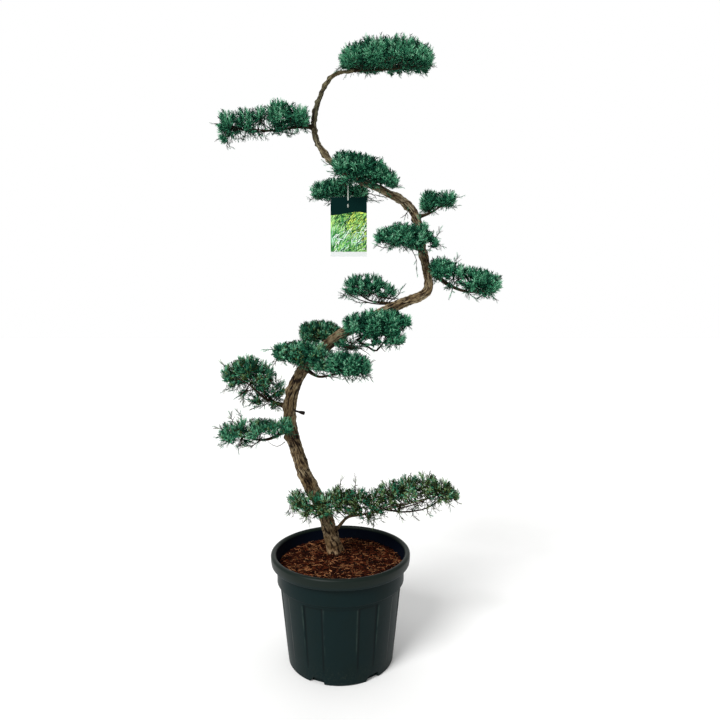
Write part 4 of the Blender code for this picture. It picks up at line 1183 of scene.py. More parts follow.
PADS = (
    Pad("top", 2056, 0, 11, ((103, 20, 2058), (178, 20, 2061), (266, 20, 2071)),
        ((52, 20, 2090, 58, 80, 48, 32), (125, 20, 2095, 70, 100, 66, 38),
         (200, 20, 2095, 74, 105, 66, 38), (265, 20, 2090, 60, 90, 46, 32)),
        light=0.11,
        sprigs=((8, 3, (250, 10, 2075), (280, 0, 2062), (312, 0, 2066)),)),
    Pad("upper_left", 1861, 1, 14, ((-134, -10, 1859), (-193, -20, 1849), (-281, -20, 1840),
         (-350, -10, 1856), (-400, -10, 1868)),
        ((-138, -10, 1889, 45, 70, 40, 34), (-200, -20, 1890, 42, 75, 58, 42),
         (-262, -20, 1890, 32, 50, 34, 30), (-312, -18, 1874, 36, 60, 46, 34),
         (-370, -12, 1868, 44, 70, 42, 46, 850), (-390, -12, 1832, 20, 40, 25, 34, 700),
         (-300, -25, 1850, 60, 45, 20, 26, 300), (-200, -30, 1846, 70, 45, 20, 18, 300)),
        airiness=0.3, gaps=((-268, 1860, 20, 9), (-250, 1880, 12, 9)),
        sprigs=((4, 9, (-350, -10, 1856), (-395, -12, 1866), (-422, -12, 1869)),
                (5, 8, (-215, -20, 1845), (-250, -40, 1839), (-300, -45, 1842)),
                (9, 4, (-245, -20, 1850), (-262, -30, 1875), (-255, -30, 1905)))),
    Pad("saddle", 1690, 0, 14, ((60, -52, 1706), (40, -65, 1722)),
        ((20, -60, 1722, 48, 75, 42, 34), (75, -62, 1712, 48, 75, 44, 36),
         (122, -58, 1700, 42, 70, 42, 34), (170, -50, 1674, 32, 60, 30, 26),
         (50, -80, 1678, 58, 34, 24, 26, 550), (110, -76, 1664, 40, 30, 16, 18, 400)),
        light=-0.02,
        sprigs=((6, 4, (60, -60, 1690), (90, -75, 1655), (118, -70, 1640)),
                (6, 4, (30, -60, 1690), (20, -75, 1660), (-5, -70, 1648)),
                (5, 4, (0, -40, 1715), (-25, -50, 1722), (-43, -50, 1728)),
                (5, 4, (0, -40, 1700), (-15, -50, 1702), (-28, -50, 1700)),
                (6, 4, (120, -50, 1680), (140, -80, 1650), (162, -70, 1628)))),
    Pad("low_back", 1674, 1, 13, ((52, 30, 1664), (-6, 50, 1655), (-85, 48, 1655)),
        ((-68, 50, 1660, 40, 60, 34, 32), (-10, 50, 1670, 45, 65, 35, 50),
         (60, 50, 1655, 45, 50, 30, 30)),
        airiness=0.15,
        sprigs=((6, 4, (60, 40, 1655), (100, 30, 1630), (130, 30, 1622)),
                (6, 4, (80, 40, 1655), (130, 30, 1640), (160, 20, 1632)))),
    Pad("right_small", 1563, 1, 14, ((315, 45, 1583), (351, 60, 1606), (386, 60, 1631)),
        ((308, 60, 1622, 32, 55, 46, 34), (372, 60, 1632, 42, 60, 36, 28)),
        airiness=0.2,
        sprigs=((3, 4, (300, 40, 1575), (320, 45, 1600), (322, 45, 1625)),
                (6, 4, (240, 20, 1590), (230, 0, 1575), (223, 0, 1560)),
                (5, 4, (390, 60, 1630), (410, 55, 1638), (420, 55, 1640)))),
    Pad("middle", 1452, 1, 15, ((247, -22, 1455), (197, -45, 1471), (136, -50, 1490)),
        ((150, -55, 1490, 38, 60, 30, 28), (205, -60, 1492, 48, 70, 44, 42),
         (256, -62, 1483, 38, 45, 46, 44)),
        airiness=0.15,
        sprigs=((6, 4, (190, -50, 1465), (150, -60, 1450), (125, -60, 1458)),
                (7, 4, (268, -30, 1500), (272, -50, 1530), (268, -50, 1555)),
                (4, 3, (240, -30, 1455), (258, -45, 1415), (261, -45, 1372)))),
    Pad("tuft_mid", 1475, 0, 9, ((312, -4, 1481), (328, -6, 1492)),
        ((322, 0, 1476, 24, 42, 20, 20), (300, -12, 1498, 22, 40, 22, 22),
         (282, -38, 1524, 18, 26, 22, 26)),
        airiness=0.25,
        sprigs=((6, 4, (320, -5, 1485), (336, -8, 1500), (341, -8, 1512)),
                (6, 4, (330, 0, 1475), (345, 0, 1466), (352, 0, 1462)))),
    Pad("right", 1388, 2, 20, ((344, -10, 1350), (401, -25, 1315), (463, -40, 1304), (517, -40, 1324)),
        ((342, -20, 1385, 40, 70, 44, 42), (395, -30, 1362, 40, 70, 44, 40),
         (450, -40, 1345, 45, 80, 48, 45), (505, -40, 1333, 42, 75, 48, 45)),
        airiness=0.24, light=-0.02, gaps=((388, 1345, 18, 8), (427, 1350, 10, 14)),
        sprigs=((7, 4, (385, -30, 1385), (395, -30, 1405), (399, -30, 1418)),
                (5, 4, (390, -20, 1325), (380, -50, 1308), (376, -50, 1294)),
                (7, 5, (420, -30, 1312), (446, -50, 1292), (462, -50, 1280)))),
    Pad("inner_left", 1262, 1, 16, ((159, -4, 1268), (104, 22, 1277), (41, 30, 1314)),
        ((60, 35, 1325, 56, 80, 48, 32), (110, 35, 1328, 50, 80, 48, 28, 850),
         (160, 35, 1308, 44, 70, 36, 26, 700)),
        airiness=0.38, gaps=((85, 1287, 20, 5), (175, 1290, 12, 8)),
        sprigs=((5, 6, (190, -20, 1262), (103, -40, 1267), (42, -40, 1290), (21, -30, 1317)),
                (5, 5, (189, -15, 1280), (130, -40, 1290), (84, -40, 1318)),
                (7, 4, (100, -40, 1268), (66, -50, 1268), (36, -50, 1280)),
                (7, 4, (170, 10, 1272), (200, 10, 1295), (215, 10, 1318)))),
    Pad("elbow", 1222, 1, 17, ((116, -85, 1176), (155, -110, 1163), (207, -110, 1176)),
        ((52, -120, 1195, 42, 65, 40, 34), (110, -125, 1200, 50, 75, 50, 44),
         (165, -120, 1200, 44, 70, 48, 40), (215, -115, 1208, 28, 50, 24, 22),
         (186, -115, 1152, 36, 60, 28, 26), (120, -115, 1150, 40, 55, 22, 22),
         (40, -95, 1130, 60, 40, 28, 26, 350)),
        airiness=0.16, light=-0.04, gaps=((140, 1152, 14, 9), (100, 1140, 10, 8)),
        sprigs=((8, 9, (60, -50, 1140), (85, -90, 1127), (122, -110, 1108), (148, -120, 1137),
                 (194, -120, 1144)),
                (14, 5, (20, -50, 1150), (30, -90, 1135), (70, -110, 1132), (110, -120, 1128)),
                (10, 4, (0, -60, 1140), (10, -90, 1118), (50, -110, 1112)),
                (5, 6, (-20, -60, 1130), (10, -110, 1122), (60, -125, 1118), (90, -125, 1104)))),
    Pad("behind", 1128, 1, 15, ((-61, 20, 1138), (-103, 55, 1149), (-139, 55, 1160)),
        ((-105, 60, 1163, 48, 65, 46, 36), (-50, 60, 1165, 48, 70, 44, 36),
         (-5, 55, 1150, 34, 50, 28, 30)),
        greyness=0.25),
    Pad("lower_left", 1066, 1, 15, ((-133, -45, 1079), (-168, -65, 1092), (-209, -65, 1110)),
        ((-185, -70, 1104, 44, 65, 34, 36), (-130, -85, 1100, 45, 70, 44, 46),
         (-78, -105, 1100, 42, 60, 40, 30), (-55, -118, 1070, 48, 50, 32, 34)),
        greyness=0.2, airiness=0.1,
        sprigs=((6, 4, (-200, -70, 1105), (-232, -70, 1110), (-248, -70, 1108)),)),
    Pad("lower_right", 1044, 1, 17, ((-74, -70, 1019), (-14, -110, 1030), (56, -115, 1050)),
        ((-12, -120, 1072, 45, 70, 40, 40), (40, -120, 1064, 46, 70, 40, 44),
         (78, -120, 1060, 32, 55, 34, 36)),
        airiness=0.1,
        sprigs=((8, 4, (50, -110, 1050), (85, -120, 1062), (108, -120, 1072)),
                (12, 6, (-60, -80, 1030), (-40, -120, 1025), (-10, -135, 1022)))),
    Pad("left_high", 902, 1, 20, ((-234, 30, 915), (-275, 48, 950), (-347, 50, 1000), (-404, 50, 1024)),
        ((-385, 50, 1018, 42, 65, 42, 58), (-335, 50, 1030, 52, 80, 60, 50),
         (-285, 50, 1005, 48, 75, 62, 48, 850), (-240, 50, 965, 44, 70, 56, 50, 750),
         (-340, 30, 965, 40, 40, 30, 36, 500), (-292, 25, 936, 42, 45, 34, 30, 700),
         (-248, 20, 918, 34, 35, 26, 22, 650)),
        greyness=0.35, airiness=0.3, light=-0.07, gaps=((-340, 975, 9, 5), (-226, 1005, 10, 12)),
        sprigs=((4, 9, (-240, 25, 915), (-272, -12, 945), (-312, -28, 985), (-352, -30, 1006)),
                (8, 5, (-262, 0, 935), (-262, -25, 965), (-245, -28, 990)),
                (6, 5, (-300, -20, 970), (-330, -30, 960), (-352, -28, 945)),
                (9, 5, (-390, 50, 1020), (-415, 50, 1042), (-428, 50, 1056)),
                (14, 4, (-320, 30, 985), (-340, 20, 950), (-346, 20, 918)),
                (14, 4, (-245, 30, 920), (-275, 15, 906), (-305, 15, 898)))),
    Pad("left_low", 828, 2, 16, ((-230, 15, 797), (-279, 10, 784), (-357, 10, 798), (-413, 10, 813)),
        ((-388, 10, 812, 44, 65, 40, 42), (-350, 10, 825, 30, 55, 44, 40),
         (-295, 10, 822, 42, 70, 44, 42), (-242, 8, 828, 36, 55, 34, 28),
         (-335, 5, 790, 50, 45, 20, 26, 500)),
        greyness=0.2, airiness=0.38, light=-0.03, gaps=((-330, 835, 10, 16), (-275, 797, 18, 6)),
        sprigs=((0, 3, (-195, 0, 780), (-219, -10, 766), (-243, -10, 773), (-256, -5, 785)),
                (8, 4, (-400, 10, 815), (-422, 10, 825), (-436, 10, 828)),
                (8, 4, (-395, 10, 805), (-418, 10, 798), (-432, 10, 795)),
                (9, 5, (-280, 0, 785), (-310, -10, 768), (-330, -10, 766)),
                (6, 4, (-345, 10, 800), (-358, 0, 775), (-362, 0, 755)),
                (8, 4, (-375, 10, 840), (-385, 10, 860), (-388, 10, 874)),
                (8, 4, (-350, 10, 840), (-352, 10, 865), (-362, 10, 884)))),
    Pad("tuft_low", 816, 0, 9, ((-177, -22, 828), (-177, -42, 842)),
        ((-188, -35, 842, 30, 35, 40, 36),),
        greyness=0.2, airiness=0.2, light=-0.15),
    Pad("front_low", 520, 1, 14, ((-92, 18, 540), (-131, -20, 556), (-168, -35, 572)),
        ((-150, -35, 580, 38, 55, 40, 40), (-102, -55, 575, 44, 60, 42, 56),
         (-52, -65, 575, 46, 50, 46, 50)),
        greyness=0.75, airiness=0.34, light=0.12),
    Pad("skirt", 408, 2, 15, ((19, 22, 495), (76, -18, 523), (167, -30, 547), (261, -40, 576),
         (372, -40, 611)),
        ((-5, -35, 584, 50, 70, 50, 52), (58, -35, 576, 52, 75, 50, 48),
         (118, -35, 580, 44, 70, 44, 48), (175, -38, 606, 44, 75, 52, 46),
         (235, -40, 618, 48, 80, 52, 40), (300, -40, 634, 50, 80, 52, 40),
         (350, -40, 618, 42, 75, 44, 46), (390, -40, 604, 28, 50, 28, 30),
         (100, -45, 535, 50, 45, 20, 30, 500), (205, -50, 570, 60, 45, 25, 22, 500),
         (290, -55, 582, 60, 45, 30, 24, 400)),
        greyness=0.8, airiness=0.37, light=-0.03, gaps=((205, 572, 10, 6), (275, 588, 8, 6)),
        sprigs=((8, 6, (110, -60, 540), (150, -95, 572), (205, -105, 590), (245, -110, 602)),
                (8, 6, (200, -70, 562), (250, -110, 588), (300, -112, 612), (340, -108, 622)),
                (20, 8, (156, -40, 550), (174, -60, 552), (244, -70, 551), (313, -60, 568),
                 (350, -50, 592)),
                (7, 4, (0, -30, 610), (0, -40, 640), (5, -40, 656)),
                (6, 4, (50, -30, 610), (52, -40, 640), (52, -40, 658)),
                (12, 5, (110, -30, 545), (118, -60, 525), (116, -60, 500)),
                (9, 4, (190, -40, 552), (205, -65, 540), (214, -65, 525)),
                (7, 4, (250, -60, 553), (252, -70, 538), (262, -70, 528)),
                (7, 4, (300, -60, 563), (302, -70, 548), (310, -70, 540)))),
)

# How the pads are shaped, and how far they keep from each other and from the limbs
SQUARENESS = 2.5
BOUGH_TAPER = 0.55
STEM_TIP_RADIUS = 0.0016
CLEARANCE = 0.0015
DEEP_IN_OTHER = 0.72
BLEND = 5.0
LEVEL_OF_FLAT_PADS = 1.22
TILT_WITH_HEIGHT = 0.3
LOBE_WAVE = 0.095
SPECK_WAVE = 0.026
LOBE_GAIN = 1.7
MOSTLY_GREY = 0.5


def depth_in(points: Array, clump: Clump) -> Array:
    """How far out points are in a clump, from 0 in its middle to 1 on its outline.

    Args:
        points: Places.
        clump: The clump.

    Returns:
        The depth of each.
    """
    off = points - clump.middle
    tall = np.where(off[..., 2] > 0, clump.up, clump.down)
    shares = np.abs(np.stack([off[..., 0] / clump.wide, off[..., 1] / clump.deep, off[..., 2] / tall]))
    return (shares ** SQUARENESS).sum(axis=0) ** (1 / SQUARENESS)


def blended_depth(points: Array, clumps: tuple[Clump, ...]) -> Array:
    """How far out points are in clumps that swell into each other: (sum of d^-BLEND)^(-1/BLEND)."""
    depths = np.maximum([depth_in(points, clump) for clump in clumps], 0.02)
    return (depths ** -BLEND).sum(axis=0) ** (-1 / BLEND)


def lobes(points: Array) -> Array:
    """How high the foliage stands: folded noise, 0 in narrow creases and 1 on broad lobes."""
    return np.minimum(1.0, LOBE_GAIN * np.abs(ripple(points, LOBE_WAVE, 7)))


def room_within(points: Array, clumps: tuple[Clump, ...]) -> tuple[Array, Array]:
    """How far each point is above the pad's underside and below its top. Both follow the nearest
    clump. A high pad's underside rises towards the back and its top falls towards the front, and a
    low pad's the other way about, as each grows at right angles to its leaning stem.

    Args:
        points: Places, one a row.
        clumps: The pad's clumps.

    Returns:
        The room below and the room above each point.
    """
    nearest = np.argmin([depth_in(points, clump) for clump in clumps], axis=0)
    y, low, high, lean = np.array([[c.y, c.z - c.down, c.z + c.up, (c.z - LEVEL_OF_FLAT_PADS)
                                    * TILT_WITH_HEIGHT] for c in clumps])[nearest].T
    tilt = lean * (points[:, 1] - y)
    return points[:, 2] - low - np.maximum(tilt, 0.0), high + np.minimum(tilt, 0.0) - points[:, 2]


def outline_points(clump: Clump, ways: Array, share: Array) -> Array:
    """Points part of the way from a clump's middle to its outline.

    Args:
        clump: The clump.
        ways: The directions, one a row.
        share: How much of the way along each.

    Returns:
        The points.
    """
    tall = np.where(ways[:, 2] > 0, clump.up, clump.down)
    reach = np.stack([ways[:, 0] * clump.wide, ways[:, 1] * clump.deep, ways[:, 2] * tall], axis=1)
    bulge = (np.abs(ways) ** SQUARENESS).sum(axis=1) ** (1 / SQUARENESS)
    return clump.middle + reach * (share / bulge)[:, None]


def spiral_ways(count: int, turn: float) -> Array:
    """Evenly spread directions: heights evenly apart, each turned by the golden angle.

    Args:
        count: How many.
        turn: The turn of the first.

    Returns:
        The directions, one a row.
    """
    number = np.arange(count)
    height = 1 - (2 * number + 1) / count
    ring = polar(np.sqrt(1 - height ** 2), GOLDEN_TURN * number + turn)
    return np.stack([*ring, height], axis=1)


def leaning(ahead: Array, across: Array, lean: Array, turn: Array) -> Array:
    """Directions that lean away from ahead: cos l · ahead + sin l(cos a · across + sin a · other),
    other being square to both.

    Args:
        ahead: The directions that they lean from.
        across: Directions square to those.
        lean: How far each leans.
        turn: The way that it leans, as a turn from across.

    Returns:
        The directions.
    """
    lean, turn = lean[..., None], turn[..., None]
    other = np.cross(ahead, across)
    return np.cos(lean) * ahead + np.sin(lean) * (np.cos(turn) * across + np.sin(turn) * other)


def room_beside(points: Array, path: Array, radii: Array) -> Array:
    """The distance from points to a limb's surface, negative inside it.

    Args:
        points: Places, one a row.
        path: The limb's middle line.
        radii: Its radius at each point of that.

    Returns:
        The distance of each.
    """
    start, along = path[:-1], np.diff(path, axis=0)
    share = np.einsum("pij,ij->pi", points[:, None] - start, along) / (along ** 2).sum(axis=1)
    share = np.clip(share, 0, 1)
    foot = start + share[..., None] * along
    size = radii[:-1] + share * np.diff(radii)
    return (np.linalg.norm(points[:, None] - foot, axis=2) - size).min(axis=1)


@dataclass
class Limb:
    """One bough and the stem that carries on from it through its pad."""

    pad: Pad
    trunk: Trunk
    relief: BarkRelief = field(default_factory=lambda: BarkRelief(strips=9, strip_length=0.045))
    sides: int = 28
    ring_step: float = 0.0028
    girth: float = 0.006
    sway_share: float = 0.07
    furrow_share: float = 0.16
    collar_share: float = 0.55
    collar_length: float = 0.009

    def places(self) -> Array:
        """The limb's places, from the trunk's middle to the far end of its foliage."""
        start = self.trunk.path(2)[-1] if self.pad.name == "top" else self.trunk.at(self.pad.leaves)[0]
        return np.vstack([start, self.pad.way])

    def path(self, count: int = 60) -> Array:
        """The middle line of bough and stem together."""
        return smooth_path(self.places(), count)

    def radii(self, path: Array) -> Array:
        """The radius: from the bough's own down to its tip's share, then on down to the stem's tip.

        Args:
            path: Points of the middle line.

        Returns:
            The radius at each point.
        """
        along, whole = lengths_along(path), lengths_along(self.places())
        bough = whole[self.pad.bough_places] / whole[-1] * along[-1]
        root = self.pad.thickness / 2
        knees = [0.0, max(bough, 1e-6), along[-1]]
        return np.interp(along, knees, [root, root * (BOUGH_TAPER if bough else 1.0), STEM_TIP_RADIUS])

    def build(self, finish: Material) -> None:
        """A ring carried along the limb, its reach less the bark's furrows, with a collar of
        swollen bark where it leaves the trunk.

        Args:
            finish: The bark.
        """
        path = self.path(max(40, int(lengths_along(self.path())[-1] / self.ring_step)))
        seed = zlib.crc32(self.pad.name.encode()) % 1000
        along, turns, relief, surface = self.relief.laid_on(path, self.sides, seed, self.girth)
        sway = self.sway_share * np.sin(90.0 * along + seed + turns * math.tau)
        collar, nodes = 0.0, []
        if self.pad.bough_places:
            _, around = self.trunk.at(self.pad.leaves)
            off = np.maximum(along - around, 0.0)
            collar = self.collar_share * np.exp(-off / self.collar_length)
            nodes = [f"bough_{self.pad.name}"]
        furrows = self.furrow_share * (1.0 - relief)
        reach = self.radii(path)[:, None] * (1.0 + sway + collar - furrows)
        points = tube_points(path, reach, self.sides, self.side())
        limb = make_piece(f"limb_{self.pad.name}", points, [finish], uv=surface, relief=relief)
        settle(limb, "bark", *nodes)

    def side(self) -> Array:
        """A direction that the limb nowhere runs along.

        Returns:
            The direction, square to the limb's chord.
        """
        places = self.places()
        chord = unit(places[-1] - places[0])
        return unit(np.cross(chord, UP if abs(chord[2]) < 0.8 else BACK))


# Foliage: how it grows

class Tone(IntEnum):
    """The tones of the sprays: greens from shaded inside growth to fresh tips, duller ones of a
    grey pad, and the brown of a spray that has died back."""

    SHADED = 0
    DEEP = 1
    MIDDLE = 2
    FRESH = 3
    TIP = 4
    MOSS = 5
    OLIVE = 6
    SILVER = 7
    BARE = 8


LIGHTER = np.array([Tone.DEEP, Tone.MIDDLE, Tone.FRESH, Tone.TIP, Tone.TIP, Tone.OLIVE, Tone.SILVER,
                    Tone.SILVER, Tone.BARE])


@dataclass
class SprayKit:
    """A few seeded sprays, each a shoot with side shoots that fork off it like a feather's barbs, to
    be placed by the thousand. A side shoot is a three-sided spike clad in scale leaves."""

    length: float = 0.019
    forks: int = 9
    fork_length: float = 0.0074
    fork_width: float = 0.0020
    flatness: float = 0.55
    shoot_radius: float = 0.0010
    kinds: int = 16
    tip_share: float = 0.42
    leans: tuple[float, float] = (56.0, 30.0)
    bend: float = 0.004

    def kind(self, number: int) -> Array:
        """One spray's points, the shoot first: a spike (4 points) and then 4 points a side shoot.

        A side shoot's root lies t of the way along the shoot, and its tip is at root +
        length(cos l, side · sin l cos a, sin l sin a), leaning l and turned a out of the plane.

        Args:
            number: Picks the spray.

        Returns:
            Points of shape (spikes, 4, 3).
        """
        chance = seeded(f"spray {number}")
        fork = np.arange(self.forks)
        t = np.linspace(0.08, 1.0, self.forks) + chance.uniform(-0.03, 0.0, self.forks)
        side = np.where(fork % 2, 1.0, -1.0)
        turn = chance.normal(0.0, self.flatness, self.forks) + math.pi / 2 * (fork % 4 == 3)
        lean = np.radians(np.interp(t, [0.0, 1.0], self.leans)) + chance.normal(0, 0.12, self.forks)
        size = self.fork_length * np.interp(t, [0, 0.35, 1], [0.75, 1.15, 0.75])
        size = size * chance.uniform(0.8, 1.2, self.forks)
        way = np.stack([np.cos(lean), side * np.sin(lean) * np.cos(turn),
                        np.sin(lean) * np.sin(turn)], axis=1)
        bend = chance.uniform(-self.bend, self.bend) * t ** 2
        root = np.stack([t * self.length, bend, 0 * t], axis=1)
        broad = unit(np.cross(way, np.array([1.0, 0.0, 0.0]))) * (self.fork_width / 2)
        lift = unit(np.cross(broad, way)) * (self.fork_width * 0.5)
        spikes = np.stack([root - broad, root + broad, root + lift, root + way * size[:, None]], axis=1)
        angles = once_round(3)
        ring = np.stack([0 * angles, *polar(self.shoot_radius, angles)], axis=1)
        tip = np.array([[self.length * 1.15, chance.uniform(-self.bend, self.bend), 0.0]])
        return np.concatenate([np.vstack([ring, tip])[None], spikes])

    def faces(self) -> Faces:
        """The three sides of each of a spray's spikes, the open root being inside the shoot."""
        spike = np.array([[0, 1, 3], [1, 2, 3], [2, 0, 3]])
        return (4 * np.arange(self.forks + 1)[:, None, None] + spike).reshape(-1, 3)

    def slots(self, tones: Faces) -> Faces:
        """The tone of each face of sprays of these tones: its last side shoots are one tone lighter."""
        young = np.arange(self.forks + 1) > self.forks * (1 - self.tip_share)
        return np.where(np.repeat(young, 3), LIGHTER[tones][:, None], tones[:, None]).reshape(-1)


@dataclass
class Sprays:
    """Sprays to be placed: where each starts, the way it points, how it is rolled, its size and
    its tone."""

    roots: Array
    ways: Array
    rolls: Array
    sizes: Array
    tones: Faces

    @staticmethod
    def joined(lots: list[Sprays]) -> Sprays:
        """Several lots as one."""
        return Sprays(*map(np.concatenate, zip(*(vars(lot).values() for lot in lots))))

    def kept(self, mask: Mask) -> Sprays:
        """Only those that the mask keeps."""
        return Sprays(*(column[mask] for column in vars(self).values()))

    def points(self, kit: SprayKit) -> Array:
        """Every spray's points: root + size(x · way + y · across + z · other) of its kind's.

        Args:
            kit: The kinds of spray, which are dealt out in turn.

        Returns:
            Points of shape (sprays, points in a kind, 3).
        """
        level = unit(np.cross(self.ways, UP) + 1e-6)
        other = np.cross(self.ways, level)
        across = level * np.cos(self.rolls)[:, None] + other * np.sin(self.rolls)[:, None]
        axes = np.stack([self.ways, across, np.cross(self.ways, across)], axis=1)
        kinds = np.array([kit.kind(i).reshape(-1, 3) for i in range(kit.kinds)])
        chosen = kinds[np.arange(len(self.roots)) % kit.kinds]
        return self.roots[:, None] + self.sizes[:, None, None] * np.einsum("npi,nij->npj", chosen, axes)


@dataclass
class Foliage:
    """One pad's twigs and sprays, grown by the same rule as the solids: clumps round a stem, twigs
    that fork from the stem into each clump, and sprays that stand out to the clump's outline."""

    pad: Pad
    limbs: dict[str, tuple[Array, Array]]
    kit: SprayKit
    inner_kit: SprayKit
    tuft_area: float = 0.00040
    shoot_length: tuple[float, float] = (0.012, 0.024)
    end_length: float = 0.018
    sprays_on_tuft: int = 10
    lift: float = 0.50
    lobe_height: float = 0.10
    inner_share: float = 0.85
    fringe_area: float = 0.0008
    twig_radius: float = 0.0010
    green_steps: tuple[float, ...] = (0.12, 0.34, 0.58, 0.84)
    grey_steps: tuple[float, ...] = (0.38, 0.70)
    died_back: float = 0.10
    bare_twigs: float = 0.18
    spray_leans: tuple[float, float] = (58.0, 12.0)
    twig_leans: tuple[float, float] = (60.0, 8.0)
    inner_depths: tuple[float, float] = (0.30, 0.78)
    fringe_drop: tuple[float, float] = (0.005, 0.017)
    fringe_sprays: int = 5
    main_twigs: int = 9
    twig_sag: float = 0.004

    def __post_init__(self) -> None:
        """Seeds the pad's own chance."""
        self.chance = seeded(self.pad.name)
        self.seed = zlib.crc32(self.pad.name.encode())
        self.stem = self.limbs[self.pad.name][0]

    def in_own_space(self, points: Array, hanging: bool = False) -> Mask:
        """Whether each point lies further into this pad than into any other, out of its gaps, clear
        of the tag and the limbs and, unless it hangs, over the pad's underside.

        Args:
            points: Places, one a row.
            hanging: Whether they may hang below the underside.

        Returns:
            One yes or no for each place.
        """
        keep = np.ones(len(points), bool)
        for other in PADS:
            if other is not self.pad:
                keep &= blended_depth(points, other.clumps) > DEEP_IN_OTHER
        for low, high in TAG_ROOMS:
            keep &= ~((points > low) & (points < high)).all(axis=1)
        if not hanging:
            above, below = room_within(points, self.pad.clumps)
            rough = 0.004 * ripple(points, 0.025, self.seed + 1)
            keep &= (above > rough) & (below > rough - 0.004)
        return keep & self.out_of_gaps(points) & self.clear_of_limbs(points)

    def out_of_gaps(self, points: Array) -> Mask:
        """Whether each point is out of the places where the sky shows through the pad: its own
        gaps, and specks where smooth noise, the same at every depth, is high.

        Args:
            points: Places, one a row.

        Returns:
            One yes or no for each place.
        """
        keep = np.ones(len(points), bool)
        for x, z, wide, high in self.pad.gaps:
            keep &= ((points[:, 0] - x) / wide) ** 2 + ((points[:, 2] - z) / high) ** 2 > 1.0
        if self.pad.airiness:
            specks = ripple(points * np.array([1.0, 0.0, 1.0]), SPECK_WAVE, self.seed)
            keep &= specks < 0.95 - 1.3 * self.pad.airiness
        return keep

    def clear_of_limbs(self, points: Array) -> Mask:
        """Whether each point is clear of the trunk and of every bough but this pad's own.

        Args:
            points: Places, one a row.

        Returns:
            One yes or no for each place.
        """
        keep = np.ones(len(points), bool)
        for name, (path, radii) in self.limbs.items():
            low, high = path.min(axis=0) - 0.05, path.max(axis=0) + 0.05
            near = keep & ((points > low) & (points < high)).all(axis=1)
            if near.any() and name != self.pad.name:
                keep[near] = room_beside(points[near], path, radii) > CLEARANCE
        return keep

    def outline_share(self, clump: Clump, ways: Array) -> Array:
        """Finds the pad's blended outline by halving the span that it lies in ten times.

        Args:
            clump: The clump whose middle the ways start from.
            ways: Directions, one a row.

        Returns:
            How far out along each way the outline lies, 1 being the clump's own.
        """
        low, high = np.full(len(ways), 0.7), np.full(len(ways), 1.5)
        for _ in range(10):
            middle = (low + high) / 2
            inside = blended_depth(outline_points(clump, ways, middle), self.pad.clumps) < 1.0
            low, high = np.where(inside, middle, low), np.where(inside, high, middle)
        return (low + high) / 2

    def nearest_is(self, clump: Clump, points: Array) -> Mask:
        """Whether each point lies further into this clump than into any of its siblings."""
        siblings = [depth_in(points, other) for other in self.pad.clumps if other is not clump]
        return depth_in(points, clump) < np.min([*siblings, np.full(len(points), np.inf)], axis=0)

    def tufts(self, clump: Clump) -> tuple[Array, Array, Array]:
        """The tufts on one clump. Their ends lie on the outline, moved in or out a little by
        noise, and they grow outwards, turned upwards as growth that reaches for light is.

        Args:
            clump: The clump.

        Returns:
            The end of each one's shoot, the way it grows and its length.
        """
        count = max(6, round(clump.area() / self.tuft_area * clump.fill))
        ways = unit(spiral_ways(count, self.chance.uniform(0, math.tau))
                    + self.chance.normal(0, 0.09, (count, 3)))
        share = self.outline_share(clump, ways)
        rough = outline_points(clump, ways, share)
        stray = (self.chance.uniform(size=count) < 0.10) & (ways[:, 2] > -0.2)
        share = share * (0.92 + self.lobe_height * lobes(rough) + 0.03 * ripple(rough, 0.03, 8)
                         + self.chance.uniform(-0.05, 0.03, count)
                         + stray * self.chance.uniform(0.03, 0.12, count))
        ends = outline_points(clump, ways, share)
        keep = self.in_own_space(ends) & self.nearest_is(clump, ends)
        ends, ways = ends[keep], ways[keep]
        outward = unit(ends - clump.middle + UP * (0.35 * clump.down))
        rise = np.clip(ways[:, 2:] + 0.75, 0.0, 1.0) * self.lift
        grow = unit(outward + UP * rise + self.chance.normal(0, 0.15, outward.shape))
        depth = np.linalg.norm(ends - clump.middle, axis=1)
        length = np.clip(0.5 * depth, *self.shoot_length) * self.chance.uniform(0.8, 1.15, len(ends))
        return ends - grow * self.end_length, grow, length

    def inner_sprays(self, clump: Clump, count: int) -> Sprays:
        """Darker sprays, in painted shade, that fill a clump from a third of its depth to just under
        its outline.

        Args:
            clump: The clump.
            count: How many are tried.

        Returns:
            Those that stand in the pad's own space.
        """
        ways = unit(self.chance.normal(size=(count, 3)) * np.array([1.0, 1.0, 0.8]))
        roots = outline_points(clump, ways, self.chance.uniform(*self.inner_depths, count))
        grow = unit(ways + UP * 0.6 + self.chance.normal(0, 0.35, (count, 3)))
        sizes = self.chance.uniform(0.9, 1.2, count)
        ends = roots + grow * (sizes * self.inner_kit.length)[:, None]
        keep = (self.in_own_space(ends) & self.out_of_gaps((roots + ends) / 2)
                & (blended_depth(ends, self.pad.clumps) < 0.92))
        picks = self.chance.uniform(size=count)
        dull = np.where(picks < self.pad.greyness * 0.8, Tone.MOSS, Tone.SHADED)
        tones = np.where(picks < 0.65, dull, Tone.DEEP)
        return Sprays(roots, grow, self.chance.uniform(0, math.tau, count), sizes, tones).kept(keep)

    def grow_tufts(self) -> tuple[Sprays, Sprays, Array]:
        """Every clump's sprays, and the twigs that carry them.

        Returns:
            The outer sprays, the inner ones and the twigs' middle lines, five points each.
        """
        lots, inside, twigs = [], [], []
        for clump in self.pad.clumps:
            tips, grow, length = self.tufts(clump)
            if not len(tips):
                continue
            lots.append(self.sprays_on(tips, grow, length, clump))
            openness = (1.0 - self.pad.airiness) ** 1.5 * clump.fill
            tried = round(len(lots[-1].roots) * self.inner_share * openness)
            inside.append(self.inner_sprays(clump, tried))
            twigs.append(self.twigs_to(clump, tips - grow * length[:, None], tips, grow))
        return Sprays.joined(lots), Sprays.joined(inside), np.concatenate(twigs)

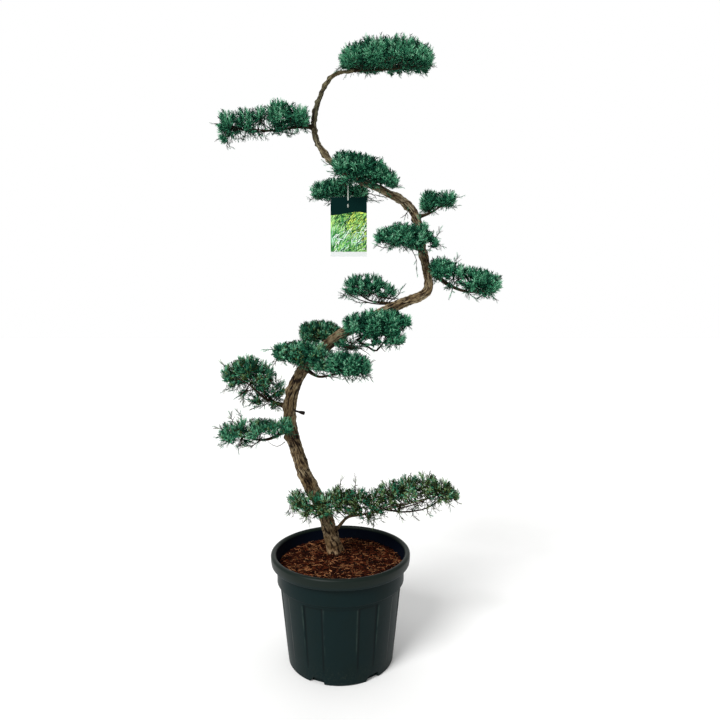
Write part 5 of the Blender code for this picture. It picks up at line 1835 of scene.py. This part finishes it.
    def sprays_on(self, tips: Array, grow: Array, length: Array, clump: Clump) -> Sprays:
        """Sprays along shoots: t of the way along, turned by the golden angle, and leaning out
        from 58 degrees at the base to 12 at the end.

        Args:
            tips: Where each shoot ends.
            grow: The way it grows.
            length: Its length.
            clump: The clump, for the shade that its inside and underside are in.

        Returns:
            The sprays that stand in the pad's own space.
        """
        shoots, count = len(tips), self.sprays_on_tuft
        t = np.linspace(0.0, 1.0, count)[None] + self.chance.uniform(-0.04, 0.04, (shoots, count))
        turn = GOLDEN_TURN * np.arange(count)[None] + self.chance.uniform(0, math.tau, (shoots, 1))
        lean = np.radians(np.interp(t, [0.0, 1.0], self.spray_leans))
        lean *= self.chance.uniform(0.75, 1.2, t.shape)
        across = unit(np.cross(grow, self.chance.normal(size=grow.shape)))
        ways = leaning(grow[:, None], across[:, None], lean, turn)
        ways = unit(ways + UP * 0.10).reshape(-1, 3)
        roots = (tips[:, None] - grow[:, None] * (length[:, None] * (1 - t))[..., None]).reshape(-1, 3)
        sizes = np.interp(t, [0, 1], [1.0, 0.78]) * self.chance.uniform(0.75, 1.15, t.shape)
        sizes = sizes.reshape(-1)
        ends = roots + ways * (sizes * self.kit.length)[:, None]
        keep = (self.in_own_space(ends) & self.out_of_gaps((roots + ends) / 2)
                & (blended_depth(ends, self.pad.clumps) < np.where(ends[:, 2] < clump.z, 1.06, 1.20)))
        tuft = np.repeat(self.chance.normal(0, 0.09, shoots), count)
        tones = self.tones(ends, t.reshape(-1), clump, tuft)
        rolls = self.chance.uniform(0, math.tau, len(roots))
        return Sprays(roots, ways, rolls, sizes, tones).kept(keep)

    def tones(self, ends: Array, t: Array, clump: Clump, tuft: Array) -> Faces:
        """Deals out tones, with painted light and shade: lighter at the top and on the tops of the
        lobes, darker inside, in the creases, just over the underside and in sparse clumps, and lighter
        or darker for the whole pad by its light. The ends of shoots are lighter as fresh growth, and a
        grey pad's greens are duller.

        Args:
            ends: The sprays' ends.
            t: How far out each stands on its shoot.
            clump: The clump.
            tuft: How much lighter its tuft is than others.

        Returns:
            The tone of each spray.
        """
        height = (ends[:, 2] - clump.z) / (clump.up + clump.down)
        above, _ = room_within(ends, self.pad.clumps)
        # Painted light and shade from the height, the lobes, the pad's light, the underside and a
        # clump's fullness; a shoot's end is lighter as fresh growth.
        light = (0.38 + self.pad.light + 0.26 * height + 0.18 * (t - 0.5) + 0.28 * (lobes(ends) - 0.5)
                 + 0.06 * ripple(ends, 0.12, 17) - 0.30 * (1.0 - ease(0.0, 0.022, above)) + tuft
                 - 0.35 * (1.0 - clump.fill) + self.chance.normal(0, 0.17, len(ends)))
        green = np.digitize(light, self.green_steps)
        grey = Tone.MOSS + np.digitize(light, self.grey_steps)
        dead = self.chance.uniform(size=len(ends)) < self.pad.greyness * self.died_back
        patch = ripple(ends, 0.05, self.seed + 2) * min(0.45, self.pad.greyness)
        dull = self.chance.uniform(size=len(ends)) + patch < self.pad.greyness
        return np.where(dead, Tone.BARE, np.where(dull, grey, green))

    def twigs_to(self, clump: Clump, bases: Array, tips: Array, grow: Array) -> Array:
        """A twig for each tuft: from the nearest fork on the clump's main twigs, bending into the
        way that the tuft grows.

        Args:
            clump: The clump.
            bases: Where each tuft's sprays begin.
            tips: Where its shoot ends.
            grow: The way it grows.

        Returns:
            Middle lines of five points each, the main twigs among them.
        """
        stem = self.stem[np.linalg.norm(self.stem - clump.middle, axis=1).argsort()[:12]]
        ways = spiral_ways(self.main_twigs, self.chance.uniform(0, math.tau))
        mains = outline_points(clump, ways, np.full(self.main_twigs, 0.5))
        roots = stem[np.linalg.norm(mains[:, None] - stem[None], axis=2).argmin(axis=1)]
        t = np.linspace(0, 1, 5)[None, :, None]
        sag = UP * -self.twig_sag * 4 * t * (1 - t)
        main_lines = roots[:, None] * (1 - t) + mains[:, None] * t + sag
        forks = np.concatenate([main_lines.reshape(-1, 3), stem])
        nearest = forks[np.linalg.norm(bases[:, None] - forks[None], axis=2).argmin(axis=1)]
        bend = bases - grow * np.linalg.norm(bases - nearest, axis=1, keepdims=True) * 0.4
        curve = (nearest[:, None] * (1 - t) ** 2 + bend[:, None] * 2 * t * (1 - t)
                 + bases[:, None] * t ** 2)
        curve[:, -1] = tips
        curve[:, -2] = bases
        return np.concatenate([main_lines, curve])

    def grow_sprigs(self) -> tuple[list[Sprays], Twigs]:
        """The twigs that show outside the clumps, with sprays along their outer halves.

        Returns:
            The sprays, and each twig's middle line and radius.
        """
        lots, lines = [], []
        for leaves, thickness, places in self.pad.sprigs:
            line = smooth_path(places, 12)
            line[1:-1] += self.chance.normal(0, 0.0007, (10, 3))
            lines.append((line, thickness / 2))
            if leaves:
                lots.append(self.dressed(line, leaves, (0.65, 1.1)))
        return lots, lines

    def grow_fringe(self, clump: Clump) -> tuple[list[Sprays], Twigs]:
        """The short dark twigs under a clump: each leaves the stem, runs just over the underside,
        turns down and ends in a few thin sprays.

        Args:
            clump: The clump.

        Returns:
            The sprays, and each twig's middle line and radius.
        """
        count = round(clump.wide * clump.deep * math.pi / self.fringe_area)
        angle = self.chance.uniform(0, math.tau, count)
        reach = np.sqrt(self.chance.uniform(0.02, 0.85, count))
        outward = np.stack([*polar(1.0, angle), 0 * angle], axis=1)
        spots = clump.middle + outward * reach[:, None] * np.array([clump.wide, clump.deep, 0.0])
        spots[:, 2] -= room_within(spots, self.pad.clumps)[0] - 0.004
        ways = unit(outward * 0.8 - UP * self.chance.uniform(0.15, 0.9, (count, 1))
                    + self.chance.normal(0, 0.25, (count, 3)))
        tips = spots + ways * self.chance.uniform(*self.fringe_drop, (count, 1))
        keep = (self.in_own_space(tips, True) & self.in_own_space(spots, True)
                & (blended_depth(tips, self.pad.clumps) > 0.85))
        lots, lines = [], []
        for spot, tip in zip(spots[keep], tips[keep]):
            stem = self.stem[np.linalg.norm(self.stem - spot, axis=1).argmin()]
            knee = spot + (stem - spot) * 0.4 + UP * 0.010
            line = smooth_path(np.array([stem, knee, spot, tip]), 10)
            lines.append((line, self.twig_radius * 1.2))
            lots.append(self.dressed(line[5:], self.fringe_sprays, (0.45, 0.8), 0.35))
        return lots, lines

    def dressed(self, line: Array, leaves: int, sizes: tuple[float, float],
                shade: float = 0.0) -> Sprays:
        """Sprays along the outer part of a twig, turned by the golden angle and leaning out from 60
        degrees to 8 at the end.

        Args:
            line: The twig's middle line.
            leaves: How many sprays.
            sizes: The least and the greatest of their sizes.
            shade: How much darker than usual they are dealt out.

        Returns:
            The sprays.
        """
        share = np.linspace(0, 1, len(line))
        t = np.linspace(0.35, 1.0, leaves)
        place, ahead = rows_at(t, share, line), unit(rows_at(t, share, np.gradient(line, axis=0)))
        turn = GOLDEN_TURN * np.arange(leaves) + self.chance.uniform(0, math.tau)
        side = unit(np.cross(ahead, self.chance.normal(size=3)))
        lean = np.radians(np.interp(t, [0.35, 1.0], self.twig_leans))
        ways = unit(leaning(ahead, side, lean, turn))
        scale = self.chance.uniform(*sizes, leaves)
        green = np.digitize(self.chance.uniform(size=leaves) - shade, [0.35, 0.72, 0.95])
        dull = self.chance.uniform(size=leaves) < self.pad.greyness
        dead = self.chance.uniform(size=leaves) < self.bare_twigs
        tones = np.where(dead, Tone.BARE, np.where(dull, green // 2 + Tone.MOSS, green))
        return Sprays(place, ways, self.chance.uniform(0, math.tau, leaves), scale, tones)

    def build(self, greens: list[Material], twig: list[Material]) -> None:
        """Builds the pad's two pieces: its sprays and its twigs.

        Args:
            greens: The tones' materials.
            twig: The bark of young green twigs and of brown ones.
        """
        sprays, inside, twigs = self.grow_tufts()
        loose, lines = self.grow_sprigs()
        for clump in self.pad.clumps:
            more_loose, more_lines = self.grow_fringe(clump)
            loose += more_loose
            lines += more_lines
        points, faces, slots = [], [], []
        for lot, kit in ((Sprays.joined([sprays, *loose]), self.kit), (inside, self.inner_kit)):
            placed = lot.points(kit)
            first = sum(map(len, points)) + np.arange(len(placed)) * placed.shape[1]
            faces.append((first[:, None, None] + kit.faces()).reshape(-1, 3))
            slots.append(kit.slots(lot.tones))
            points.append(placed.reshape(-1, 3))
        leaves = make_piece(f"sprays_{self.pad.name}", np.concatenate(points), greens, faces,
                            np.concatenate(slots), smooth=False)
        settle(leaves, "foliage", f"mass_{self.pad.name}")
        self.build_twigs(twigs, lines, twig)

    def build_twigs(self, twigs: Array, lines: Twigs, finishes: list[Material]) -> None:
        """The pad's twigs as tapering tubes in one piece: four-sided green ones inside the clumps
        and six-sided brown ones where they show.

        Args:
            twigs: The middle lines of those inside.
            lines: The middle line and radius of each that shows.
            finishes: The green bark and the brown.
        """
        taper = np.linspace(1.5, 0.55, twigs.shape[1])
        radii = self.twig_radius * taper * self.chance.uniform(0.7, 1.2, (len(twigs), 1))
        chord = unit(twigs[:, -1] - twigs[:, 0] + 1e-6)
        reference = unit(np.cross(chord, self.chance.normal(size=chord.shape)))[:, None]
        fine = tube_points(twigs, radii, 4, reference)
        points, faces = [fine.reshape(-1, 3)], tube_faces(fine)
        done, green = len(points[0]), sum(map(len, faces))
        for line, radius in lines:
            way = unit(line[-1] - line[0])
            square = unit(np.cross(way, BACK if abs(way[1]) < 0.8 else UP))
            body = tube_points(line, radius * np.linspace(1.0, 0.4, len(line)), 6, square)
            faces += tube_faces(body, done)
            points.append(body.reshape(-1, 3))
            done += len(points[-1])
        slots = (np.arange(sum(map(len, faces))) >= green) | (self.pad.greyness > MOSTLY_GREY)
        piece = make_piece(f"twigs_{self.pad.name}", np.concatenate(points), finishes, faces, slots)
        settle(piece, "bark", f"mass_{self.pad.name}")


# Hang tag

@dataclass
class HangTag:
    """The printed card and the white strap that ties it to the trunk."""

    width: float = 0.1216
    height: float = 0.197
    thickness: float = 0.0009
    corner: float = 0.003
    top: float = 1.6195
    middle: float = 0.0311
    front: float = -0.046
    slot_height: float = 0.004
    slot_level: float = 1.590
    header: float = 0.0545
    footer: float = 0.016
    ink: float = 0.00006
    bleed: float = 0.0001
    blades: int = 820
    blade_steps: int = 9
    blade_length: tuple[float, float] = (0.014, 0.042)
    blade_width: tuple[float, float] = (0.0005, 0.0013)
    pale_share: float = 0.34
    ink_shares: tuple[float, ...] = (0.44, 0.26, 0.30)
    strap_width: float = 0.0040
    tuck: float = 0.0105
    head: tuple[float, float] = (0.0026, 0.0065)
    strap_thickness: float = 0.0008
    strap_place: float = 0.0288
    strap_level: float = 1.697
    slack: float = 0.006

    def header_edge(self, x: Array) -> Array:
        """The header's lower edge: a shallow wave, lowest at the left and highest past the middle."""
        share = (x - self.middle) / self.width + 0.5
        return self.top - self.header - 0.006 * (1 - share) + 0.0072 * np.sin(math.pi * share ** 2)

    def rooms(self, trunk: Trunk) -> list[tuple[Array, Array]]:
        """The room that the card and its strap need.

        Args:
            trunk: The trunk that the strap goes round.

        Returns:
            The low and the high corner of each of two boxes.
        """
        grip, radius = trunk.at(self.strap_level)
        half, strap = self.width / 2 + 0.002, self.strap_width / 2 + 0.001
        near, far = self.front - self.slack, self.front + self.slack
        around = radius + self.slack
        return [(np.array([self.middle - half, near, self.top - self.height - 0.002]),
                 np.array([self.middle + half, far, self.top + 0.002])),
                (np.array([self.strap_place - strap, near, self.slot_level]),
                 np.array([self.strap_place + strap, grip[1] + around, grip[2] + around]))]

    def sheet(self, name: str, xs: Array, lows: Array, highs: Array, rows: Array, proud: float,
              finish: Material) -> None:
        """A film of ink on the card's face: a grid between a lower and an upper edge, with the
        strap's slot left open.

        Args:
            name: The piece's name.
            xs: Its columns.
            lows: The lower edge at each column.
            highs: The upper edge at each column.
            rows: Shares of the height, from 0 to 1.
            proud: How far it stands off the card.
            finish: Its material.
        """
        z = lows + (highs - lows) * rows[:, None]
        points = np.stack(np.broadcast_arrays(xs, self.front - proud, z), axis=-1)
        faces = grid_quads(len(rows), len(xs))
        x, _, z = points.reshape(-1, 3)[faces].mean(axis=1).T
        hole = ((np.abs(x - self.strap_place) < self.strap_width / 2)
                & (np.abs(z - self.slot_level) < self.slot_height / 2))
        settle(make_piece(name, points, [finish], [faces[~hole]], smooth=False), "card")

    def build_card(self, header: Material, picture: Material, card: Material) -> None:
        """Dresses the card and lays the header and the picture's ground on it.

        Args:
            header: The header's ink.
            picture: The picture's ground.
            card: The bare card.
        """
        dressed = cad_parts["tag_card"].data.materials
        dressed.clear()
        dressed.append(card)
        half, hole = self.width / 2 - self.bleed, self.strap_width * 0.6
        xs = np.concatenate([np.linspace(self.middle - half, self.strap_place - hole, 14),
                             np.linspace(self.strap_place + hole, self.middle + half, 14)])
        edge, top = self.header_edge(xs), self.top - self.bleed
        slot = self.slot_level + np.array([-0.5, 0.5]) * self.slot_height
        rows = np.concatenate([np.linspace(0, 1, 7), (slot - edge.mean()) / (top - edge.mean())])
        self.sheet("tag_header", xs, edge, np.full_like(xs, top), np.unique(rows), self.ink * 2, header)
        floor = np.full_like(xs, self.top - self.height + self.footer)
        self.sheet("tag_picture", xs, floor, edge, np.linspace(0, 1, 9), self.ink, picture)

    def build_blades(self, finishes: list[Material]) -> None:
        """The picture's generic leaves: blades that lean to the right, each a ribbon whose middle
        line is root + s · L(sin b, cos b), b turning with s, and whose width is w · 4s(1 - s) and
        a little. Pale ones lie low in the middle and few of any tone stand high on the right.

        Args:
            finishes: The inks.
        """
        chance = seeded("tag blades")
        count, steps = self.blades, self.blade_steps
        low, high = self.top - self.height + self.footer, self.top - self.header
        share = chance.uniform(size=count)
        place = chance.uniform(-0.5, 0.5, count)
        rise = (high - low) * share * (1.15 - 0.4 * np.maximum(place, 0.0))
        heading, curl = chance.normal(0.65, 0.45, count), chance.normal(0.0, 0.5, count)
        step = (chance.uniform(*self.blade_length, count) / steps)[:, None]
        s = np.linspace(0, 1, steps)[None]
        bearing = heading[:, None] + curl[:, None] * s
        x = (self.middle + self.width * place)[:, None] + np.cumsum(np.sin(bearing), axis=1) * step
        z = (low - 0.015 + rise)[:, None] + np.cumsum(np.cos(bearing), axis=1) * step
        width = (chance.uniform(*self.blade_width, (count, 1))
                 * (4 * s * (1 - s) * 0.85 + 0.15 * (1 - s)))
        ends = np.array([-1, 1])
        x = x[..., None] + (np.cos(bearing) * width)[..., None] * ends
        z = z[..., None] - (np.sin(bearing) * width)[..., None] * ends
        half = self.width / 2 - self.bleed
        x = np.clip(x, self.middle - half, self.middle + half)
        z = np.clip(z, low, self.header_edge(x) - self.bleed)
        proud = (self.ink * 2 + np.arange(count) * self.ink / 50)[:, None, None]
        points = np.stack([x, np.broadcast_to(self.front - proud, x.shape), z], axis=-1)
        first = 2 * (np.arange(count)[:, None] * steps + np.arange(steps - 1)).reshape(-1, 1)
        pale = chance.uniform(size=count) < self.pale_share * bell(share, 0.35, 0.25)
        tones = np.where(pale, 3 + chance.integers(0, 2, count),
                         chance.choice(3, count, p=self.ink_shares))
        blades = make_piece("tag_blades", points, finishes, [first + np.array([0, 1, 3, 2])],
                            np.repeat(tones, steps - 1), smooth=False)
        settle(blades, "card")

    def build_strap(self, trunk: Trunk, finish: Material) -> None:
        """A flat strap carried round a closed loop in the plane across the trunk: an arc round the
        bark, a leg that shows in front of the card's top edge before it tucks behind, and another
        behind the card, locked by a small rounded head in the slot.

        Args:
            trunk: The trunk that it goes round.
            finish: The strap's plastic.
        """
        centre, radius = trunk.at(self.strap_level)
        reach = radius * 1.05 / math.cos(math.pi / 10) + 0.0045
        foot = self.slot_level + self.slot_height / 2 - self.strap_thickness / 2 - 0.0003
        angles = np.radians(np.linspace(-20, 200, 13))
        arc = centre[1:] + np.stack(polar(reach, angles), axis=1)
        behind = self.front + self.thickness + self.strap_thickness
        before, slit = self.front - self.strap_thickness, self.top - self.tuck
        legs = [[before, self.top + 0.012], [before, slit + 0.002], [behind, slit - 0.002],
                [behind, foot + 0.004], [self.front + self.thickness / 2, foot],
                [before - 0.001, foot - 0.002], [behind + 0.001, foot + 0.001],
                [behind + 0.0016, foot + 0.020]]
        loop = np.vstack([arc, legs])
        fine = cubic_curve(*(np.roll(loop, shift, axis=0) for shift in (1, 0, -1, -2)), 8)
        ahead = unit(np.roll(fine, -1, axis=0) - np.roll(fine, 1, axis=0))
        out = np.stack([ahead[:, 1], -ahead[:, 0]], axis=1)
        across = np.array([-1, 1, 1, -1]) * self.strap_width / 2
        skin = np.array([-1, -1, 1, 1]) * self.strap_thickness / 2
        y, z = np.moveaxis(fine[:, None] + out[:, None] * skin[:, None], -1, 0)
        points = np.stack([np.broadcast_to(self.strap_place + across, y.shape), y, z], axis=-1)
        along = np.linspace(0, 0.36, len(points))[:, None]
        uv = np.stack(np.broadcast_arrays(across, along), axis=-1)
        turn = np.linspace(0.05, math.pi - 0.05, 9)
        middle = np.stack([self.strap_place + 0 * turn, self.front - self.head[0] + 0 * turn,
                           self.slot_level - self.head[1] * np.cos(turn)], axis=-1)
        head = tube_points(middle, self.head[0] * np.sin(turn), 12, BACK)
        closed = tube_faces(np.concatenate([points, points[:1]]))[0] % (4 * len(points))
        strap = make_piece("tag_strap", np.vstack([points.reshape(-1, 3), head.reshape(-1, 3)]),
                           [finish], [closed, *tube_faces(head, 4 * len(points))], smooth=False,
                           uv=np.vstack([uv.reshape(-1, 2), np.zeros((head.size // 3, 2))]))
        settle(strap, "tie", "tag_tie")


TAG_ROOMS = HangTag().rooms(Trunk())


# Studio

@dataclass
class Studio:
    """The pale floor, the soft light and the camera at the plant's front."""

    camera_place: Place = (0.069, -2.025, 1.218)
    camera_down: float = math.radians(4.20)
    focal_pixels: float = 581.0
    picture_side: float = 720.0
    sensor: float = 36.0
    floor_half: float = 30.0
    sky_behind: float = 1.0
    wall_edge: tuple[float, float] = (0.69, 0.76)
    sky_level: float = 0.24
    sky_above: float = 0.80
    key_place: Place = (-2.4, -3.4, 4.6)
    key_spread: float = math.radians(26)
    key_strength: float = 2.7
    aim: Place = (0.05, 0.0, 1.1)

    def build_floor(self) -> None:
        """A wide pale floor."""
        size = self.floor_half
        corners = np.array([[-size, -size, 0], [size, -size, 0], [size, size, 0], [-size, size, 0]])
        finish = MattFloor("matt_white_floor", 0.9).build()
        make_piece("floor", corners, [finish], [np.array([[0, 1, 2, 3]])], smooth=False)

    def build_key(self) -> None:
        """One broad soft light from the front left and above, even over the whole floor."""
        lamp = bpy.data.lights.new("key", "SUN")
        lamp.angle, lamp.energy = self.key_spread, self.key_strength
        light = bpy.data.objects.new("key", lamp)
        bpy.context.scene.collection.objects.link(light)
        light.location = self.key_place
        way = Vector(self.aim) - light.location
        light.rotation_euler = way.to_track_quat("-Z", "Y").to_euler()

    def build_sky(self) -> None:
        """A plain sky: white behind the plant and dimmer all round, like a white wall in a room."""
        world = bpy.data.worlds.new("white_wall_in_a_room")
        world.use_nodes = True
        tree = world.node_tree
        way = add_node(tree, "TexCoord", output="Generated")
        depth = add_node(tree, "SeparateXYZ", [way], "Y")
        height = add_node(tree, "SeparateXYZ", [way], "Z")
        around = add_node(tree, "MapRange", [height, 0.0, 0.8, self.sky_level, self.sky_above])
        strength = add_node(tree, "MapRange", [depth, *self.wall_edge, around, self.sky_behind],
                            interpolation_type="SMOOTHSTEP")
        background = tree.nodes["Background"]
        background.inputs["Color"].default_value = (1.0, 1.0, 1.0, 1.0)
        tree.links.new(strength, background.inputs["Strength"])
        bpy.context.scene.world = world

    def build(self) -> None:
        """Builds floor, sky, lamps and camera."""
        self.build_floor()
        self.build_sky()
        bpy.context.scene.view_settings.view_transform = "Standard"
        self.build_key()
        lens = bpy.data.cameras.new("front_camera")
        lens.sensor_width = self.sensor
        lens.lens = self.sensor * self.focal_pixels / self.picture_side
        camera = bpy.data.objects.new("front_camera", lens)
        bpy.context.scene.collection.objects.link(camera)
        camera.location = self.camera_place
        camera.rotation_euler = (math.pi / 2 - self.camera_down, 0.0, 0.0)
        bpy.context.scene.camera = camera


# The whole plant

def plain_finishes(prefix: str, colours: str, roughness: float, gloss: float) -> list[Material]:
    """One plain material for each of the colours, which a space parts."""
    return [PlainFinish(f"{prefix}_{number}", roughness, gloss, colour).build()
            for number, colour in enumerate(colours.split())]


def main() -> None:
    """Builds the studio, the container, the tree and the tag, and writes their sizes."""
    logging.basicConfig(level=logging.INFO, format="%(name)s: %(message)s")
    Studio().build()

    Container().build(MouldedPlastic("moulded_polypropylene", 0.42, 0.06).build(),
                      PlainFinish("polypropylene_in_the_shade", 0.55, 0.05, "#060c18").build())

    mulch = Mulch()
    mulch_tones = plain_finishes("bark_shred", "#0f0402 #341209 #68321b #b07b52", 0.85, 0.05)
    mulch.build_bed(DampSubstrate("damp_substrate", 0.9, 0.1).build())
    mulch.build_fibres(mulch_tones)
    mulch.build_chips(mulch_tones)

    trunk = Trunk()
    bark = JuniperBark("stringy_juniper_bark", 0.88, 0.15).build()
    # A darker copy of the bark, painted shade, for the boughs inside pads that are not mostly grey.
    shaded_bark = JuniperBark("young_juniper_bark", 0.88, 0.1, furrow="#0a0705", inner="#20170f",
                              strip="#41331f", weathered="#4d4434").build()
    twig = [PlainFinish("green_twig_bark", 0.8, 0.1, "#12291d").build(),
            PlainFinish("brown_twig_bark", 0.8, 0.1, "#241b13").build()]
    dead = PlainFinish("dead_juniper_wood", 0.8, 0.1, "#17120f").build()
    trunk.build(bark)
    trunk.build_stub(dead, dead)

    path = trunk.path(120)
    limbs = {"trunk": (path, trunk.radii(path) * 1.06)}
    for pad in PADS:
        limb = Limb(pad, trunk)
        line = limb.path(40)
        limbs[pad.name] = (line, limb.radii(line))
        limb.build(bark if pad.greyness > MOSTLY_GREY else shaded_bark)

    greens = plain_finishes("juniper_needles", "#083a2a #266a4e #47906b #66b089 #95cfac #212e12 "
                            "#5a6c39 #87a878 #33291e", 0.6, 0.12)
    kit = SprayKit()
    fine_kit = SprayKit(length=0.017, fork_length=0.0062, fork_width=0.0017, flatness=0.6,
                        shoot_radius=0.0008)
    inner_kit = SprayKit(length=0.024, forks=7, fork_length=0.0115, fork_width=0.0040, flatness=0.9,
                         shoot_radius=0.0012, tip_share=0.0)
    for pad in PADS:
        outer_kit = fine_kit if pad.greyness > MOSTLY_GREY else kit
        Foliage(pad, limbs, outer_kit, inner_kit).build(greens, twig)

    tag = HangTag()
    tag.build_card(PlainFinish("deep_green_ink", 0.5, 0.0, "#09211f").build(),
                   PrintedPicture("printed_picture", 0.5, 0.05).build(),
                   PlainFinish("white_card", 0.5, 0.1, "#d3d6d6").build())
    tag.build_blades(plain_finishes("leaf_ink", "#0f3a1e #2b8244 #9ad676 #b8e2cc #f2fbf4", 0.5, 0.05))
    tag.build_strap(trunk, EdgedPlastic("white_strap", 0.45).build())


if __name__ == "__main__":
    main()
